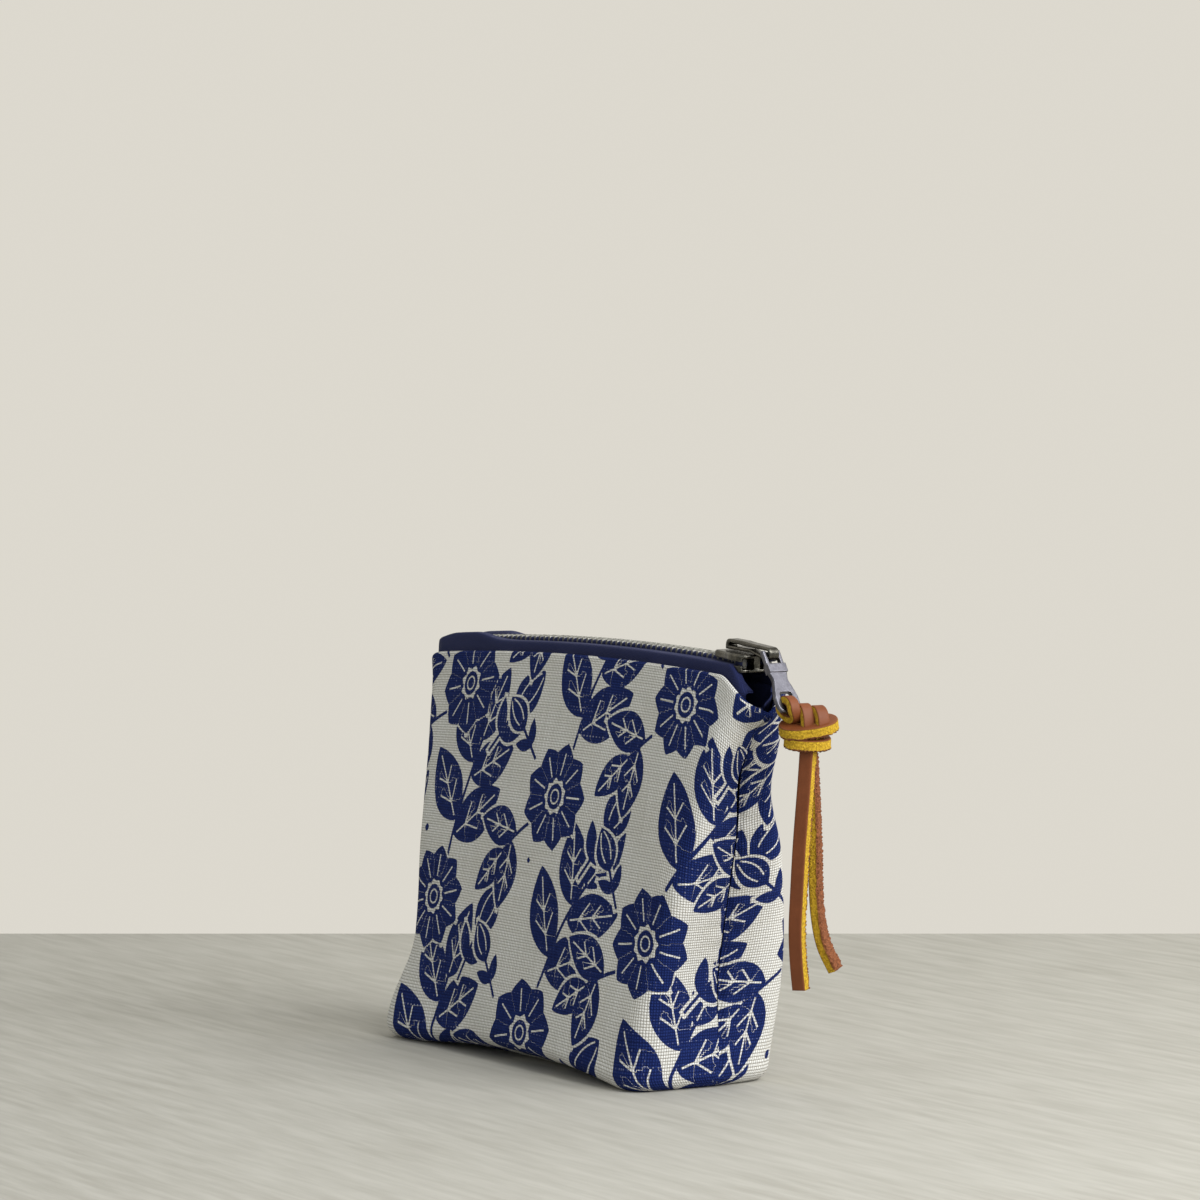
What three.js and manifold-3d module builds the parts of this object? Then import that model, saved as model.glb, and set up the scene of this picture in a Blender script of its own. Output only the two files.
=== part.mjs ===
// A small zippered pouch with a boxed base, in millimetres, +Z up.
// The origin is the centre of the base, on the table. +X runs along the zip towards its closed end,
// where the slider and its leather pull hang, and +Y points to the back panel.
import * as THREE from 'three';
import { mergeVertices } from 'three/addons/utils/BufferGeometryUtils.js';
import Module from 'manifold-3d';

const wasm = await Module();
wasm.setup();

// Body of the pouch
const base_left = 59;          // base corner left of the origin
const base_right = 57;         // base corner right of the origin
const base_front = 23.5;       // base edge in front of the origin
const base_back = 23.5;        // base edge behind the origin
const zip_x = 3;               // middle of the zip, right of the base's middle
const zip_y = 3.5;             // plane of the zip and of the side seams
const top_half_length = 81;    // from the middle of the zip to a top corner
const top_corner = top_half_length - 3.5;   // where the top edge starts to turn in towards the seam
const mouth_half_depth = 8.2;  // from the zip's plane to the cloth's outer face, along the top edge
const cloth = 1.2;             // linen with its stiffening
const lining_cloth = 0.5;
const layer_gap = 0.3;         // between pieces that lie on each other
const seam_gap = 0.3;          // between the two halves of the pouch
const base_round = 4.5;        // radius where the walls turn under
const corner_round = 9;        // radius of a standing corner at the base
const top_corner_round = 6;    // and at the top edge
const edge_below_chain = 3.0;  // linen edge below the middle of the teeth
const ear_drop = 9.5;          // how far the top edge falls from its straight part to the seam
const ear_length = 13;         // stretch in which it falls
const base_lift = 3.8;         // middle of the base's long edges above the table
const flat_strip = 8;          // half depth of the strip on which the base rests
const lift_top = 32;           // height up to which the lift is felt in the walls
const belly = 1.6;             // fullness of the walls

// Side seams, as how far the seam stands out of the line between the two corners
const seam_out_base = 2.6;
const seam_in_low = -3.6;
const seam_in_high = -6.2;
const seam_out_top = 3.5;

// Zip
const chain_height = 113.6;    // middle of the teeth at the highest point of the ridge
const ridge_radius = 1100;     // the zip's line is an arc, so the slider can run round its centre
const ridge_top_x = 18;        // highest point of that arc
const tape = 0.5;              // thickness of the tape
const tape_gap = 0.5;          // between the tape and the cloth that it is sewn to
const tape_tuck = 6;           // tape held below the linen edge
const tape_end_drop = 7;       // how far a tape's end falls
const tape_end_start = top_half_length - 4.5;   // from the zip's middle to where it starts to fall
const tape_edge_bend = 1.0;    // width of the bend where the tape turns down beside the cloth
const tape_end_inset = 1.2;    // from the zip's plane to the tapes' edges past the stops
const lining_turn = 30;        // below the chain, where the lining leaves the cloth for the tape
const lining_turned = 18;      // and where it has reached its place behind the tape
const tooth_pitch = 2.4;
const tooth_thick = 0.95;
const tooth_height = 2.4;
const tooth_reach = 0.85;      // past the zip's plane, between the other row's teeth
const tooth_back = 2.7;        // from the zip's plane to the back of a tooth's jaws
const bead_radius = 0.8;       // corded edge that carries the teeth
const spread = 1.9;            // how far each row swings out at the slider's divider
const spread_length = 9;
const stop_length = 1.8;
const stop_width = 1.2;        // of a top stop, which sits in the slider's mouth

// Slider
const slider_length = 14;
const slider_x = top_half_length - slider_length;   // its middle when closed, from the zip's middle
const slider_front_width = 10.8;
const slider_back_width = 8.4;
const plate = 0.9;
const channel_clear = 0.3;     // between teeth and plates
const lip = 0.7;               // thickness of the turned sides
const tape_slot = 1.2;         // height of the slit that the tape leaves by
const divider_width = 1.7;
const divider_length = 4.5;
const cap_width = 3.0;
const cap_wall = 0.95;
const cap_rise = 3.0;          // top of the cap above the upper plate, at its back
const pivot_ahead = 12.5;      // pull's bar ahead of the slider's middle
const pivot_up = 3.0;          // and above the middle of the teeth
const bar_radius = 0.65;
const pull_gap = 0.3;
const widening_start = -1;     // along the slider, where its sides begin to part
const widening_end = 2.5;      // and where they have
const slider_corner = 2.2;     // rounding of its front corners
const slider_tail_corner = 1.2;
const slider_edge = 0.35;      // width of its broken edges
const cap_edge = 0.25;
const cap_inset = 1.2;         // cap's feet from the slider's ends

// Ends of the chain, from the zip's middle: the top stops lie in the slider's mouth.
const chain_left = 11 - top_half_length;
const chain_right = slider_x + slider_length / 2 - 3.6;

// Pull
const pull_droop = 58;         // degrees below level at which the pull rests on the pouch's end
const pull_length = 17;        // from its bar to its round end
const pull_thick = 1.4;
const pull_head_width = 5.6;
const pull_waist_width = 4.6;
const pull_end_width = 7.2;
const rim = 1.8;               // metal between the lace hole and the end
const window_length = 2.4;     // opening round the cap's nose, past the bar
const head_length = 2.4;       // thick block between that opening and the waist
const head_swell = 0.8;        // added to its thickness
const pull_edge = 0.25;        // width of the broken edges

// Lace
const lace = 3.2;              // side of its square section
const lace_gap = 0.3;
const knot_width = 14;         // across the wraps, along Y
const knot_depth = 10;         // across the wraps, along X
const wrap_height = 3.6;
const wrap_step = 3.8;
const knot_ahead = 0.8;        // knot's middle ahead of the loop's
const lace_edge = 0.5;         // rounding of the lace's corners
const strand_front_length = 62;
const strand_back_length = 60;

const finishes = {
  linen: { color: 0xd6cfbf, roughness: 0.9 },
  lining: { color: 0xe4ddcc, roughness: 0.9 },
  tape: { color: 0x1e2150, roughness: 0.85 },
  teeth: { color: 0x9a9a90, roughness: 0.4, metalness: 1 },
  slider: { color: 0x4b4843, roughness: 0.35, metalness: 1 },
  pull: { color: 0x9b9ba8, roughness: 0.35, metalness: 1 },
  leather: { color: 0x7a4526, roughness: 0.7 },
};

const pouch = new THREE.Group();

function add(name, geometry, finish, parent = pouch) {
  const mesh = new THREE.Mesh(geometry, new THREE.MeshStandardMaterial(finishes[finish]));
  mesh.name = name;
  parent.add(mesh);
  return mesh;
}

// Solids and their booleans
function toSolid(geometry) {
  const bare = geometry.clone();
  bare.deleteAttribute('normal');
  bare.deleteAttribute('uv');
  const merged = mergeVertices(bare, 1e-4);
  const vertProperties = new Float32Array(merged.attributes.position.array);
  const triVerts = new Uint32Array(merged.index.array);
  return new wasm.Manifold(new wasm.Mesh({ numProp: 3, vertProperties, triVerts }));
}

function toGeometry(solid) {
  const { vertProperties, triVerts } = solid.getMesh();
  const geometry = new THREE.BufferGeometry();
  geometry.setAttribute('position', new THREE.BufferAttribute(new Float32Array(vertProperties), 3));
  geometry.setIndex(new THREE.BufferAttribute(new Uint32Array(triVerts), 1));
  geometry.computeVertexNormals();
  return geometry;
}

const joined = (...parts) => parts.map(toSolid).reduce((a, b) => a.add(b));

// A wall between two grids of points with the same rows and columns, closed round its edge.
function wallBetween(outer, inner) {
  const rows = outer.length;
  const columns = outer[0].length;
  const positions = [...outer.flat(), ...inner.flat()].flatMap((p) => [p.x, p.y, p.z]);
  const index = [];
  const o = (i, j) => i * columns + j;
  const n = (i, j) => rows * columns + i * columns + j;
  const quad = (a, b, c, d) => index.push(a, b, c, a, c, d);
  for (let i = 0; i < rows - 1; i++) {
    for (let j = 0; j < columns - 1; j++) {
      quad(o(i, j), o(i + 1, j), o(i + 1, j + 1), o(i, j + 1));
      quad(n(i, j), n(i, j + 1), n(i + 1, j + 1), n(i + 1, j));
    }
  }
  for (let j = 0; j < columns - 1; j++) {
    quad(o(0, j), o(0, j + 1), n(0, j + 1), n(0, j));
    quad(o(rows - 1, j + 1), o(rows - 1, j), n(rows - 1, j), n(rows - 1, j + 1));
  }
  for (let i = 0; i < rows - 1; i++) {
    quad(o(i + 1, 0), o(i, 0), n(i, 0), n(i + 1, 0));
    quad(o(i, columns - 1), o(i + 1, columns - 1), n(i + 1, columns - 1), n(i, columns - 1));
  }
  const geometry = new THREE.BufferGeometry();
  geometry.setAttribute('position', new THREE.Float32BufferAttribute(positions, 3));
  geometry.setIndex(index);
  geometry.computeVertexNormals();
  return geometry;
}

// Small curves
const mix = (a, b, k) => a + (b - a) * k;
const smooth = (from, to, v) => THREE.MathUtils.smoothstep(v, from, to);

// Height of the zip's line over x, in the frame of the part.
function ridge(x) {
  const away = x - ridge_top_x;
  return chain_height - ridge_radius + Math.sqrt(ridge_radius ** 2 - away ** 2);
}
const ridgeSlope = (x) => Math.asin((x - ridge_top_x) / ridge_radius);

// Height of the linen's top edge over x.
function edgeHeight(x) {
  const from_middle = Math.abs(x - zip_x);
  const along_ear = Math.max(0, (from_middle - (top_half_length - ear_length)) / ear_length);
  return ridge(x) - edge_below_chain - ear_drop * along_ear ** 1.6;
}

// How far the side seam stands out of the corner line at a share t of the height.
function seamOut(t) {
  const shares = [0, 0.3, 0.62, 0.8, 0.93, 1];
  const outs = [seam_out_base, seam_in_low, seam_in_low, seam_in_high, seam_in_high * 0.5, seam_out_top];
  let k = 0;
  while (k < shares.length - 2 && t > shares[k + 1]) k++;
  return mix(outs[k], outs[k + 1], smooth(shares[k], shares[k + 1], t));
}

// Half section of the pouch at a share t of its height, seen from above: from the left seam, round
// two corners, to the right seam. side is -1 for the front half and 1 for the back half.
function halfSection(t, side) {
  const fullness = belly * Math.sin(Math.PI * Math.min(1, Math.max(0, t))) ** 0.8;
  const bottom_depth = side < 0 ? base_front + zip_y : base_back - zip_y;
  const depth = mix(bottom_depth, mouth_half_depth, t);
  const left = mix(-base_left, zip_x - top_corner, t);
  const right = mix(base_right, zip_x + top_corner, t);
  const round = mix(corner_round, top_corner_round, t);
  const out = seamOut(t);
  const seam_y = zip_y + side * seam_gap / 2;
  const face_y = zip_y + side * depth;
  const left_seam = new THREE.Vector2(left - out, seam_y);
  const right_seam = new THREE.Vector2(right + out, seam_y);
  const left_corner = new THREE.Vector2(left, face_y);
  const right_corner = new THREE.Vector2(right, face_y);
  const along = (from, to, distance) => {
    const step = new THREE.Vector2().subVectors(to, from);
    return from.clone().addScaledVector(step, Math.min(0.5, distance / step.length()));
  };
  const middle = new THREE.Vector2((left + right) / 2, face_y + side * fullness);
  const side_round = Math.min(round, depth * 0.75);
  const left_side = along(left_corner, left_seam, side_round);
  const left_face = along(left_corner, middle, round);
  const right_side = along(right_corner, right_seam, side_round);
  const right_face = along(right_corner, middle, round);
  const face_pull = face_y + side * fullness * 1.1;
  return [
    new THREE.LineCurve(left_seam, left_side),
    new THREE.QuadraticBezierCurve(left_side, left_corner, left_face),
    new THREE.CubicBezierCurve(left_face, new THREE.Vector2(left / 2, face_pull),
      new THREE.Vector2(right / 2, face_pull), right_face),
    new THREE.QuadraticBezierCurve(right_face, right_corner, right_side),
    new THREE.LineCurve(right_side, right_seam),
  ];
}

// Every section has the same columns on each of its five stretches, so a corner keeps its columns
// all the way down.
const side_columns = 3;
const corner_columns = 3;
const face_columns = 14;
const stretch_columns = [side_columns, corner_columns, face_columns, corner_columns, side_columns];
const panel_columns = stretch_columns.reduce((a, b) => a + b);

function sectionPoints(t, side) {
  const stretches = halfSection(t, side);
  const points = [stretches[0].getPoint(0)];
  stretches.forEach((stretch, k) => {
    for (let i = 1; i <= stretch_columns[k]; i++) points.push(stretch.getPointAt(i / stretch_columns[k]));
  });
  return points;
}

const wall_rows = 9;
const round_rows = 3;
const base_rows = 2;

// Place of a column along the base's seam, from -1 at its left end to 1 at its right end.
const seam_face_share = 0.62;
function seamShare(j) {
  const end_columns = side_columns + corner_columns;
  if (j < end_columns) return mix(-1, -seam_face_share, j / end_columns);
  if (j > panel_columns - end_columns) return mix(1, seam_face_share, (panel_columns - j) / end_columns);
  return mix(-seam_face_share, seam_face_share, (j - end_columns) / face_columns);
}

// Height of a wall's point at a share t of the height, under a point of the top edge at top_x.
const wallHeight = (t, top_x) => t * mix(chain_height, edgeHeight(top_x), t);

// Grid of points over one half of the pouch's outer face: rows run from the top edge down the wall,
// round the base's edge and in to the bottom seam, columns from the left seam to the right one.
function halfGrid(side, first_t = 1) {
  const columns = panel_columns;
  const grid = [];
  const top = sectionPoints(1, side);
  const low_t = base_round / chain_height;
  for (let i = 0; i <= wall_rows; i++) {
    const share = i / wall_rows;
    const t = i === 0 ? first_t : mix(1, low_t, share);
    grid.push(sectionPoints(t, side).map((p, j) => new THREE.Vector3(p.x, p.y, wallHeight(t, top[j].x))));
  }
  const foot = sectionPoints(low_t, side);
  const inwards = foot.map((p, j) => {
    const before = foot[Math.max(0, j - 1)];
    const after = foot[Math.min(columns, j + 1)];
    const step = new THREE.Vector2().subVectors(after, before).normalize();
    const turned = new THREE.Vector2(step.y, -step.x).multiplyScalar(side);
    if (j === 0 || j === columns) turned.set(j === 0 ? 1 : -1, 0);
    return turned;
  });
  for (let i = 1; i <= round_rows; i++) {
    const angle = Math.PI / 2 * i / round_rows;
    grid.push(foot.map((p, j) => new THREE.Vector3(
      p.x + inwards[j].x * base_round * (1 - Math.cos(angle)),
      p.y + inwards[j].y * base_round * (1 - Math.cos(angle)),
      base_round * (1 - Math.sin(angle)))));
  }
  const rim_row = grid[grid.length - 1];
  const seam_share = 0.72;
  for (let i = 1; i <= base_rows; i++) {
    grid.push(rim_row.map((p, j) => {
      const across = seamShare(j);
      const seam_x = across * seam_share * (across < 0 ? base_left : base_right);
      return new THREE.Vector3(mix(p.x, seam_x, i / base_rows),
        mix(p.y, zip_y + side * seam_gap / 2, i / base_rows), p.z);
    }));
  }
  // The middle of the long edge is lifted off the table.
  for (const row of grid) {
    for (const p of row) {
      const along = Math.max(0, 1 - (p.x / (base_right - corner_round)) ** 2);
      const across = smooth(flat_strip, base_front - base_round / 2, Math.abs(p.y));
      p.z += base_lift * along * across * Math.max(0, 1 - p.z / lift_top) ** 2;
    }
  }
  return grid;
}

// Moves a grid inwards along its own normals. Where it ends at the seams, its edge columns and its
// last row stay in the seams' plane.
function inset(grid, side, distance, to_seams = true) {
  const rows = grid.length;
  const columns = grid[0].length - 1;
  const plane = zip_y + side * seam_gap / 2;
  return grid.map((row, i) => row.map((p, j) => {
    const above = grid[Math.max(0, i - 1)][j];
    const below = grid[Math.min(rows - 1, i + 1)][j];
    const down = new THREE.Vector3().subVectors(below, above);
    const across = new THREE.Vector3().subVectors(row[Math.min(columns, j + 1)], row[Math.max(0, j - 1)]);
    const normal = new THREE.Vector3().crossVectors(down, across).multiplyScalar(-side).normalize();
    const amount = typeof distance === 'function' ? distance(p) : distance;
    if (to_seams && i >= rows - base_rows) normal.set(0, 0, -1);
    const in_plane = to_seams && (j === 0 || j === columns || i === rows - 1);
    if (in_plane) {
      normal.y = 0;
      normal.divideScalar(Math.max(0.45, normal.lengthSq()));
    }
    const moved = p.clone().addScaledVector(normal, -amount);
    moved.y = side < 0 ? Math.min(moved.y, plane) : Math.max(moved.y, plane);
    if (in_plane) moved.y = plane;
    return moved;
  }));
}

// A half's two faces are joined the way round that points outwards.
const panelWall = (outer, inner, side) => side < 0 ? wallBetween(outer, inner) : wallBetween(inner, outer);

const lining_top = 0.975;
for (const [name, side] of [['front', -1], ['back', 1]]) {
  const outer = halfGrid(side);
  add(`outer_${name}_panel`, panelWall(outer, inset(outer, side, cloth), side), 'linen');
}

for (const [name, side] of [['front', -1], ['back', 1]]) {
  const outline = halfGrid(side, lining_top);
  const beside_tape = 3 * tape_gap + tape - layer_gap;
  const turned = (p) => smooth(chain_height - lining_turn, chain_height - lining_turned, p.z);
  const depth = (p) => cloth + layer_gap + beside_tape * turned(p);
  const face = inset(outline, side, depth);
  const back = inset(outline, side, (p) => depth(p) + lining_cloth);
  add(`lining_${name}_panel`, panelWall(face, back, side), 'lining');
}

// Distance of a row of teeth from its place in the closed chain, where the slider parts the rows.
const parting_start = zip_x + slider_x - 3;
const parting = (x) => spread * smooth(parting_start, parting_start + spread_length, x);

// Height of the tape over x: along the ridge, then down at both ends.
function tapeHeight(x) {
  const past = Math.max(0, Math.abs(x - zip_x) - tape_end_start);
  const fall_length = top_half_length - tape_end_start;
  return ridge(x) - tape_end_drop * (past / fall_length) ** 1.4;
}

// One tape: flat beside the teeth, bent down inside the cloth's edge and tucked below it.
function tapeGrids(side) {
  const ends_left_out = side_columns + 1;
  const shares = [1, 0.985, 0.965, 1 - tape_tuck / chain_height];
  const top = sectionPoints(1, side);
  const outer = shares.map((t) =>
    sectionPoints(t, side).map((p, j) => new THREE.Vector3(p.x, p.y, wallHeight(t, top[j].x))));
  // The ends stay clear of the seams, and columns are split where the rows bend at the slider.
  const split = (row) => row.slice(ends_left_out, -ends_left_out).flatMap((p, j, used) => {
    if (j === 0 || p.x < parting_start) return [p];
    return [0.25, 0.5, 0.75, 1].map((share) => used[j - 1].clone().lerp(p, share));
  });
  const near = inset(outer, side, cloth + tape_gap, false).map(split);
  const far = inset(outer, side, cloth + tape_gap + tape, false).map(split);
  const upper = [];
  const lower = [];
  for (let i = 0; i < near[0].length; i++) {
    const x = (near[0][i].x + far[0][i].x) / 2;
    const z = tapeHeight(x);
    const out_y = (near[0][i].y + far[0][i].y) / 2 - zip_y;
    const past_row = x > zip_x ? x - zip_x - chain_right : zip_x - x + chain_left;
    const ends = smooth(2 * stop_length, 4 * stop_length, past_row);
    const beside_row = mix(tooth_back + layer_gap + parting(x), tape_end_inset, ends);
    const bead_y = Math.min(beside_row, Math.abs(out_y) - tape_edge_bend - layer_gap);
    const bend = Math.min(tape_edge_bend, (Math.abs(out_y) - bead_y) * 0.6);
    const flat_end = Math.abs(out_y) - bend;
    const crossing = [
      [bead_y, z, 0, 1],
      [mix(bead_y, flat_end, 0.5), z, 0, 1],
      [flat_end, z, 0, 1],
      [flat_end + bend * 0.75, z - bend * 0.35, 0.7, 0.7],
    ];
    const at = (k) => crossing.map(([y, height, ny, nz]) => new THREE.Vector3(
      x, zip_y + side * (y + ny * k * tape / 2), height + nz * k * tape / 2));
    upper.push([...at(1), ...near.map((row) => row[i])]);
    lower.push([...at(-1), ...far.map((row) => row[i])]);
  }
  return [upper, lower];
}

for (const [name, side] of [['front', -1], ['back', 1]]) {
  const [upper, lower] = tapeGrids(side);
  const geometry = side < 0 ? wallBetween(lower, upper) : wallBetween(upper, lower);
  add(`zip_tape_${name}`, geometry, 'tape');
}

// A tooth seen along the zip: jaws round the tape's bead, a neck and a head.
function toothGeometry(side) {
  const half = tooth_height / 2;
  const head = 0.62;
  const jaw = 0.8;
  const outline = [
    [-tooth_back, -half * jaw], [-tooth_back, half * jaw], [-0.7, half],
    [tooth_reach, half * head], [tooth_reach, -half * head], [-0.7, -half],
  ];
  // The shape lies in the plane of Y and Z and is extruded along X.
  const shape = new THREE.Shape(outline.map(([y, z]) => new THREE.Vector2(-side * y, z)));
  const geometry = new THREE.ExtrudeGeometry(shape, { depth: tooth_thick, bevelEnabled: false });
  geometry.translate(0, 0, -tooth_thick / 2);
  const columns = new THREE.Matrix4().makeBasis(
    new THREE.Vector3(0, 1, 0), new THREE.Vector3(0, 0, 1), new THREE.Vector3(1, 0, 0));
  return geometry.applyMatrix4(columns);
}

function teethRow(side) {
  const tooth = toSolid(toothGeometry(side));
  const offset = side < 0 ? 0 : tooth_pitch / 2;
  const first = zip_x + chain_left;
  const count = Math.floor((chain_right - chain_left - offset) / tooth_pitch) + 1;
  const bead_end = zip_x + chain_right + tooth_thick;
  const section = new THREE.Shape([[-1, 0], [0, -1], [1, 0], [0, 1]].map(([a, b]) =>
    new THREE.Vector2(a * bead_radius, b * bead_radius)));
  const bead = (from, to, steps) => {
    const points = [];
    for (let i = 0; i <= steps; i++) {
      const x = mix(from, to, i / steps);
      points.push(new THREE.Vector3(x, zip_y + side * (tooth_back - bead_radius + parting(x)), ridge(x)));
    }
    const extrudePath = new THREE.CatmullRomCurve3(points);
    return toSolid(new THREE.ExtrudeGeometry(section, { steps, bevelEnabled: false, extrudePath }));
  };
  const parts = [bead(first - tooth_thick, parting_start, 12), bead(parting_start - 0.01, bead_end, 6)];
  for (let k = 0; k < count; k++) {
    const x = first + offset + k * tooth_pitch;
    const y = zip_y + side * parting(x);
    const degrees = THREE.MathUtils.radToDeg(ridgeSlope(x));
    parts.push(tooth.rotate([0, degrees, 0]).translate([x, y, ridge(x)]));
  }
  return toGeometry(wasm.Manifold.union(parts));
}

add('zip_teeth_front', teethRow(-1), 'teeth');
add('zip_teeth_back', teethRow(1), 'teeth');

// Stops: one across both rows at the open end of the run, and one on each tape where it closes.
function roundedBox(length, width, height, round) {
  const shape = new THREE.Shape();
  const w = width / 2 - round;
  const h = height / 2 - round;
  shape.absarc(w, h, round, 0, Math.PI / 2);
  shape.absarc(-w, h, round, Math.PI / 2, Math.PI);
  shape.absarc(-w, -h, round, Math.PI, 1.5 * Math.PI);
  shape.absarc(w, -h, round, 1.5 * Math.PI, 2 * Math.PI);
  const geometry = new THREE.ExtrudeGeometry(shape, { depth: length, bevelEnabled: false, curveSegments: 3 });
  geometry.translate(0, 0, -length / 2);
  return geometry.applyMatrix4(new THREE.Matrix4().makeBasis(
    new THREE.Vector3(0, 1, 0), new THREE.Vector3(0, 0, 1), new THREE.Vector3(1, 0, 0)));
}

const bottom_stop_x = zip_x + chain_left - tooth_thick - layer_gap - stop_length / 2;
const bottom_stop = add('zip_bottom_stop', roundedBox(stop_length, 2 * tooth_back, tooth_height, 0.5), 'teeth');
bottom_stop.position.set(bottom_stop_x, zip_y, ridge(bottom_stop_x));

const top_stop_x = zip_x + chain_right + tooth_thick + layer_gap + stop_length / 2;
for (const [name, side] of [['front', -1], ['back', 1]]) {
  const stop = add(`zip_top_stop_${name}`, roundedBox(stop_length, stop_width, tooth_height, 0.4), 'teeth');
  stop.position.set(top_stop_x, zip_y + side * (tooth_back - bead_radius + spread), ridge(top_stop_x));
}

// Slider: two plates joined by a divider, with their sides turned in round the rows of teeth.
const slider = new THREE.Group();
slider.position.set(zip_x + slider_x, zip_y, ridge(zip_x + slider_x));
slider.rotation.y = ridgeSlope(zip_x + slider_x);
pouch.add(slider);

const plates_inside = tooth_height / 2 + channel_clear;
const plates_outside = plates_inside + plate;

function sliderOutline(narrow) {
  const half = slider_length / 2;
  const back = slider_back_width / 2 - narrow;
  const front = slider_front_width / 2 - narrow;
  const shape = new THREE.Shape();
  shape.moveTo(-half, -back + slider_tail_corner);
  shape.quadraticCurveTo(-half, -back, -half + slider_tail_corner, -back);
  shape.bezierCurveTo(widening_start, -back, 0, -front, widening_end, -front);
  shape.lineTo(half - slider_corner, -front);
  shape.quadraticCurveTo(half, -front, half, -front + slider_corner);
  shape.lineTo(half, front - slider_corner);
  shape.quadraticCurveTo(half, front, half - slider_corner, front);
  shape.lineTo(widening_end, front);
  shape.bezierCurveTo(0, front, widening_start, back, -half + slider_tail_corner, back);
  shape.quadraticCurveTo(-half, back, -half, back - slider_tail_corner);
  shape.closePath();
  return shape;
}

// Where the rows of teeth pass: straight at the back, apart at the front, open at both ends.
function channelOutline() {
  const past_end = slider_length;
  const narrow = tooth_back + channel_clear;
  const wide = slider_front_width / 2 - lip;
  const shape = new THREE.Shape();
  shape.moveTo(-past_end, -narrow);
  shape.lineTo(-slider_length / 4, -narrow);
  shape.bezierCurveTo(widening_start, -narrow, 0, -wide, widening_end, -wide);
  shape.lineTo(past_end, -wide);
  shape.lineTo(past_end, wide);
  shape.lineTo(widening_end, wide);
  shape.bezierCurveTo(0, wide, widening_start, narrow, -slider_length / 4, narrow);
  shape.lineTo(-past_end, narrow);
  shape.closePath();
  return shape;
}

function standing(shape, from, to, curveSegments = 6) {
  const depth = to - from;
  return new THREE.ExtrudeGeometry(shape, { depth, bevelEnabled: false, curveSegments }).translate(0, 0, from);
}

function dividerShape() {
  const front = slider_length / 2 - 0.4;
  const back = front - divider_length;
  const shape = new THREE.Shape();
  shape.moveTo(back, 0);
  shape.quadraticCurveTo(front - 1.5, -divider_width / 2, front, -divider_width / 2);
  shape.lineTo(front, divider_width / 2);
  shape.quadraticCurveTo(front - 1.5, divider_width / 2, back, 0);
  return shape;
}

function sliderBody() {
  const block = new THREE.ExtrudeGeometry(sliderOutline(slider_edge), {
    depth: 2 * (plates_outside - slider_edge),
    bevelThickness: slider_edge, bevelSize: slider_edge, bevelSegments: 1, curveSegments: 5,
  });
  block.translate(0, 0, slider_edge - plates_outside);
  const channel = standing(channelOutline(), -plates_inside, plates_inside);
  const slit = new THREE.BoxGeometry(2 * slider_length, 2 * slider_front_width, tape_slot);
  const into_plates = plate / 4;
  const divider = standing(dividerShape(), -plates_inside - into_plates, plates_inside + into_plates);
  return toGeometry(toSolid(block).subtract(toSolid(channel)).subtract(toSolid(slit)).add(toSolid(divider)));
}
add('slider_body', sliderBody(), 'slider', slider);

// Cap: a long bridge on the upper plate, open at its sides, with a nose that holds the pull's bar.
function capGeometry() {
  const foot = plates_outside + layer_gap;
  const back = -slider_length / 2 + cap_inset;
  const front_foot = slider_length / 2 - cap_inset;
  const top = plates_outside + cap_rise;
  const bar_room = bar_radius + pull_gap;
  const nose_top = pivot_up + bar_room + cap_wall;
  const nose_under = pivot_up - bar_room - cap_wall;
  const nose_front = pivot_ahead + bar_room + cap_wall;
  const crown = top - foot - cap_wall;
  const outer = new THREE.Shape();
  outer.moveTo(back, foot);
  outer.lineTo(back, top - crown);
  outer.quadraticCurveTo(back, top, back + crown, top);
  outer.lineTo(widening_end - 1, top);
  outer.bezierCurveTo(pivot_ahead * 0.4, top - 0.3, pivot_ahead * 0.56, nose_top + 0.2, pivot_ahead, nose_top);
  outer.quadraticCurveTo(nose_front, nose_top, nose_front, pivot_up);
  outer.quadraticCurveTo(nose_front, nose_under + 0.5, pivot_ahead, nose_under);
  outer.lineTo(front_foot, foot);
  outer.closePath();
  const window = new THREE.Path();
  const sill = foot + cap_wall;
  const ceiling = top - cap_wall;
  window.moveTo(back + cap_wall, sill);
  window.lineTo(front_foot - cap_wall, sill);
  window.lineTo(pivot_ahead, pivot_up - bar_room);
  window.absarc(pivot_ahead, pivot_up, bar_room, -Math.PI / 2, Math.PI / 2, false);
  window.lineTo(widening_end, ceiling - 0.35);
  window.lineTo(back + 2 * cap_wall, ceiling);
  window.lineTo(back + cap_wall, ceiling - cap_wall);
  window.closePath();
  outer.holes.push(window);
  const geometry = new THREE.ExtrudeGeometry(outer, {
    depth: cap_width - 2 * cap_edge, bevelThickness: cap_edge, bevelSize: cap_edge, bevelOffset: -cap_edge,
    bevelSegments: 1, curveSegments: 6,
  });
  geometry.translate(0, 0, -cap_width / 2 + cap_edge);
  return geometry.rotateX(Math.PI / 2);
}
add('slider_cap', capGeometry(), 'slider', slider);

// Pull: hangs from its bar in the cap's nose. Its own axis runs along +X from the bar.
const pull = new THREE.Group();
pull.position.set(pivot_ahead, 0, pivot_up);
pull.rotation.y = THREE.MathUtils.degToRad(pull_droop) - slider.rotation.y;
slider.add(pull);

const window_width = cap_width + 2 * pull_gap;
const head_start = bar_radius + cap_wall + window_length - 0.9;
const head_end = head_start + head_length;
const hole_end = pull_length - rim;
const ring_inner = Math.hypot(rim, pull_thick) / 2 + lace_gap;
const rim_centre = pull_length - rim / 2;
const hole_start = rim_centre - ring_inner - lace - lace_gap;

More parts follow.
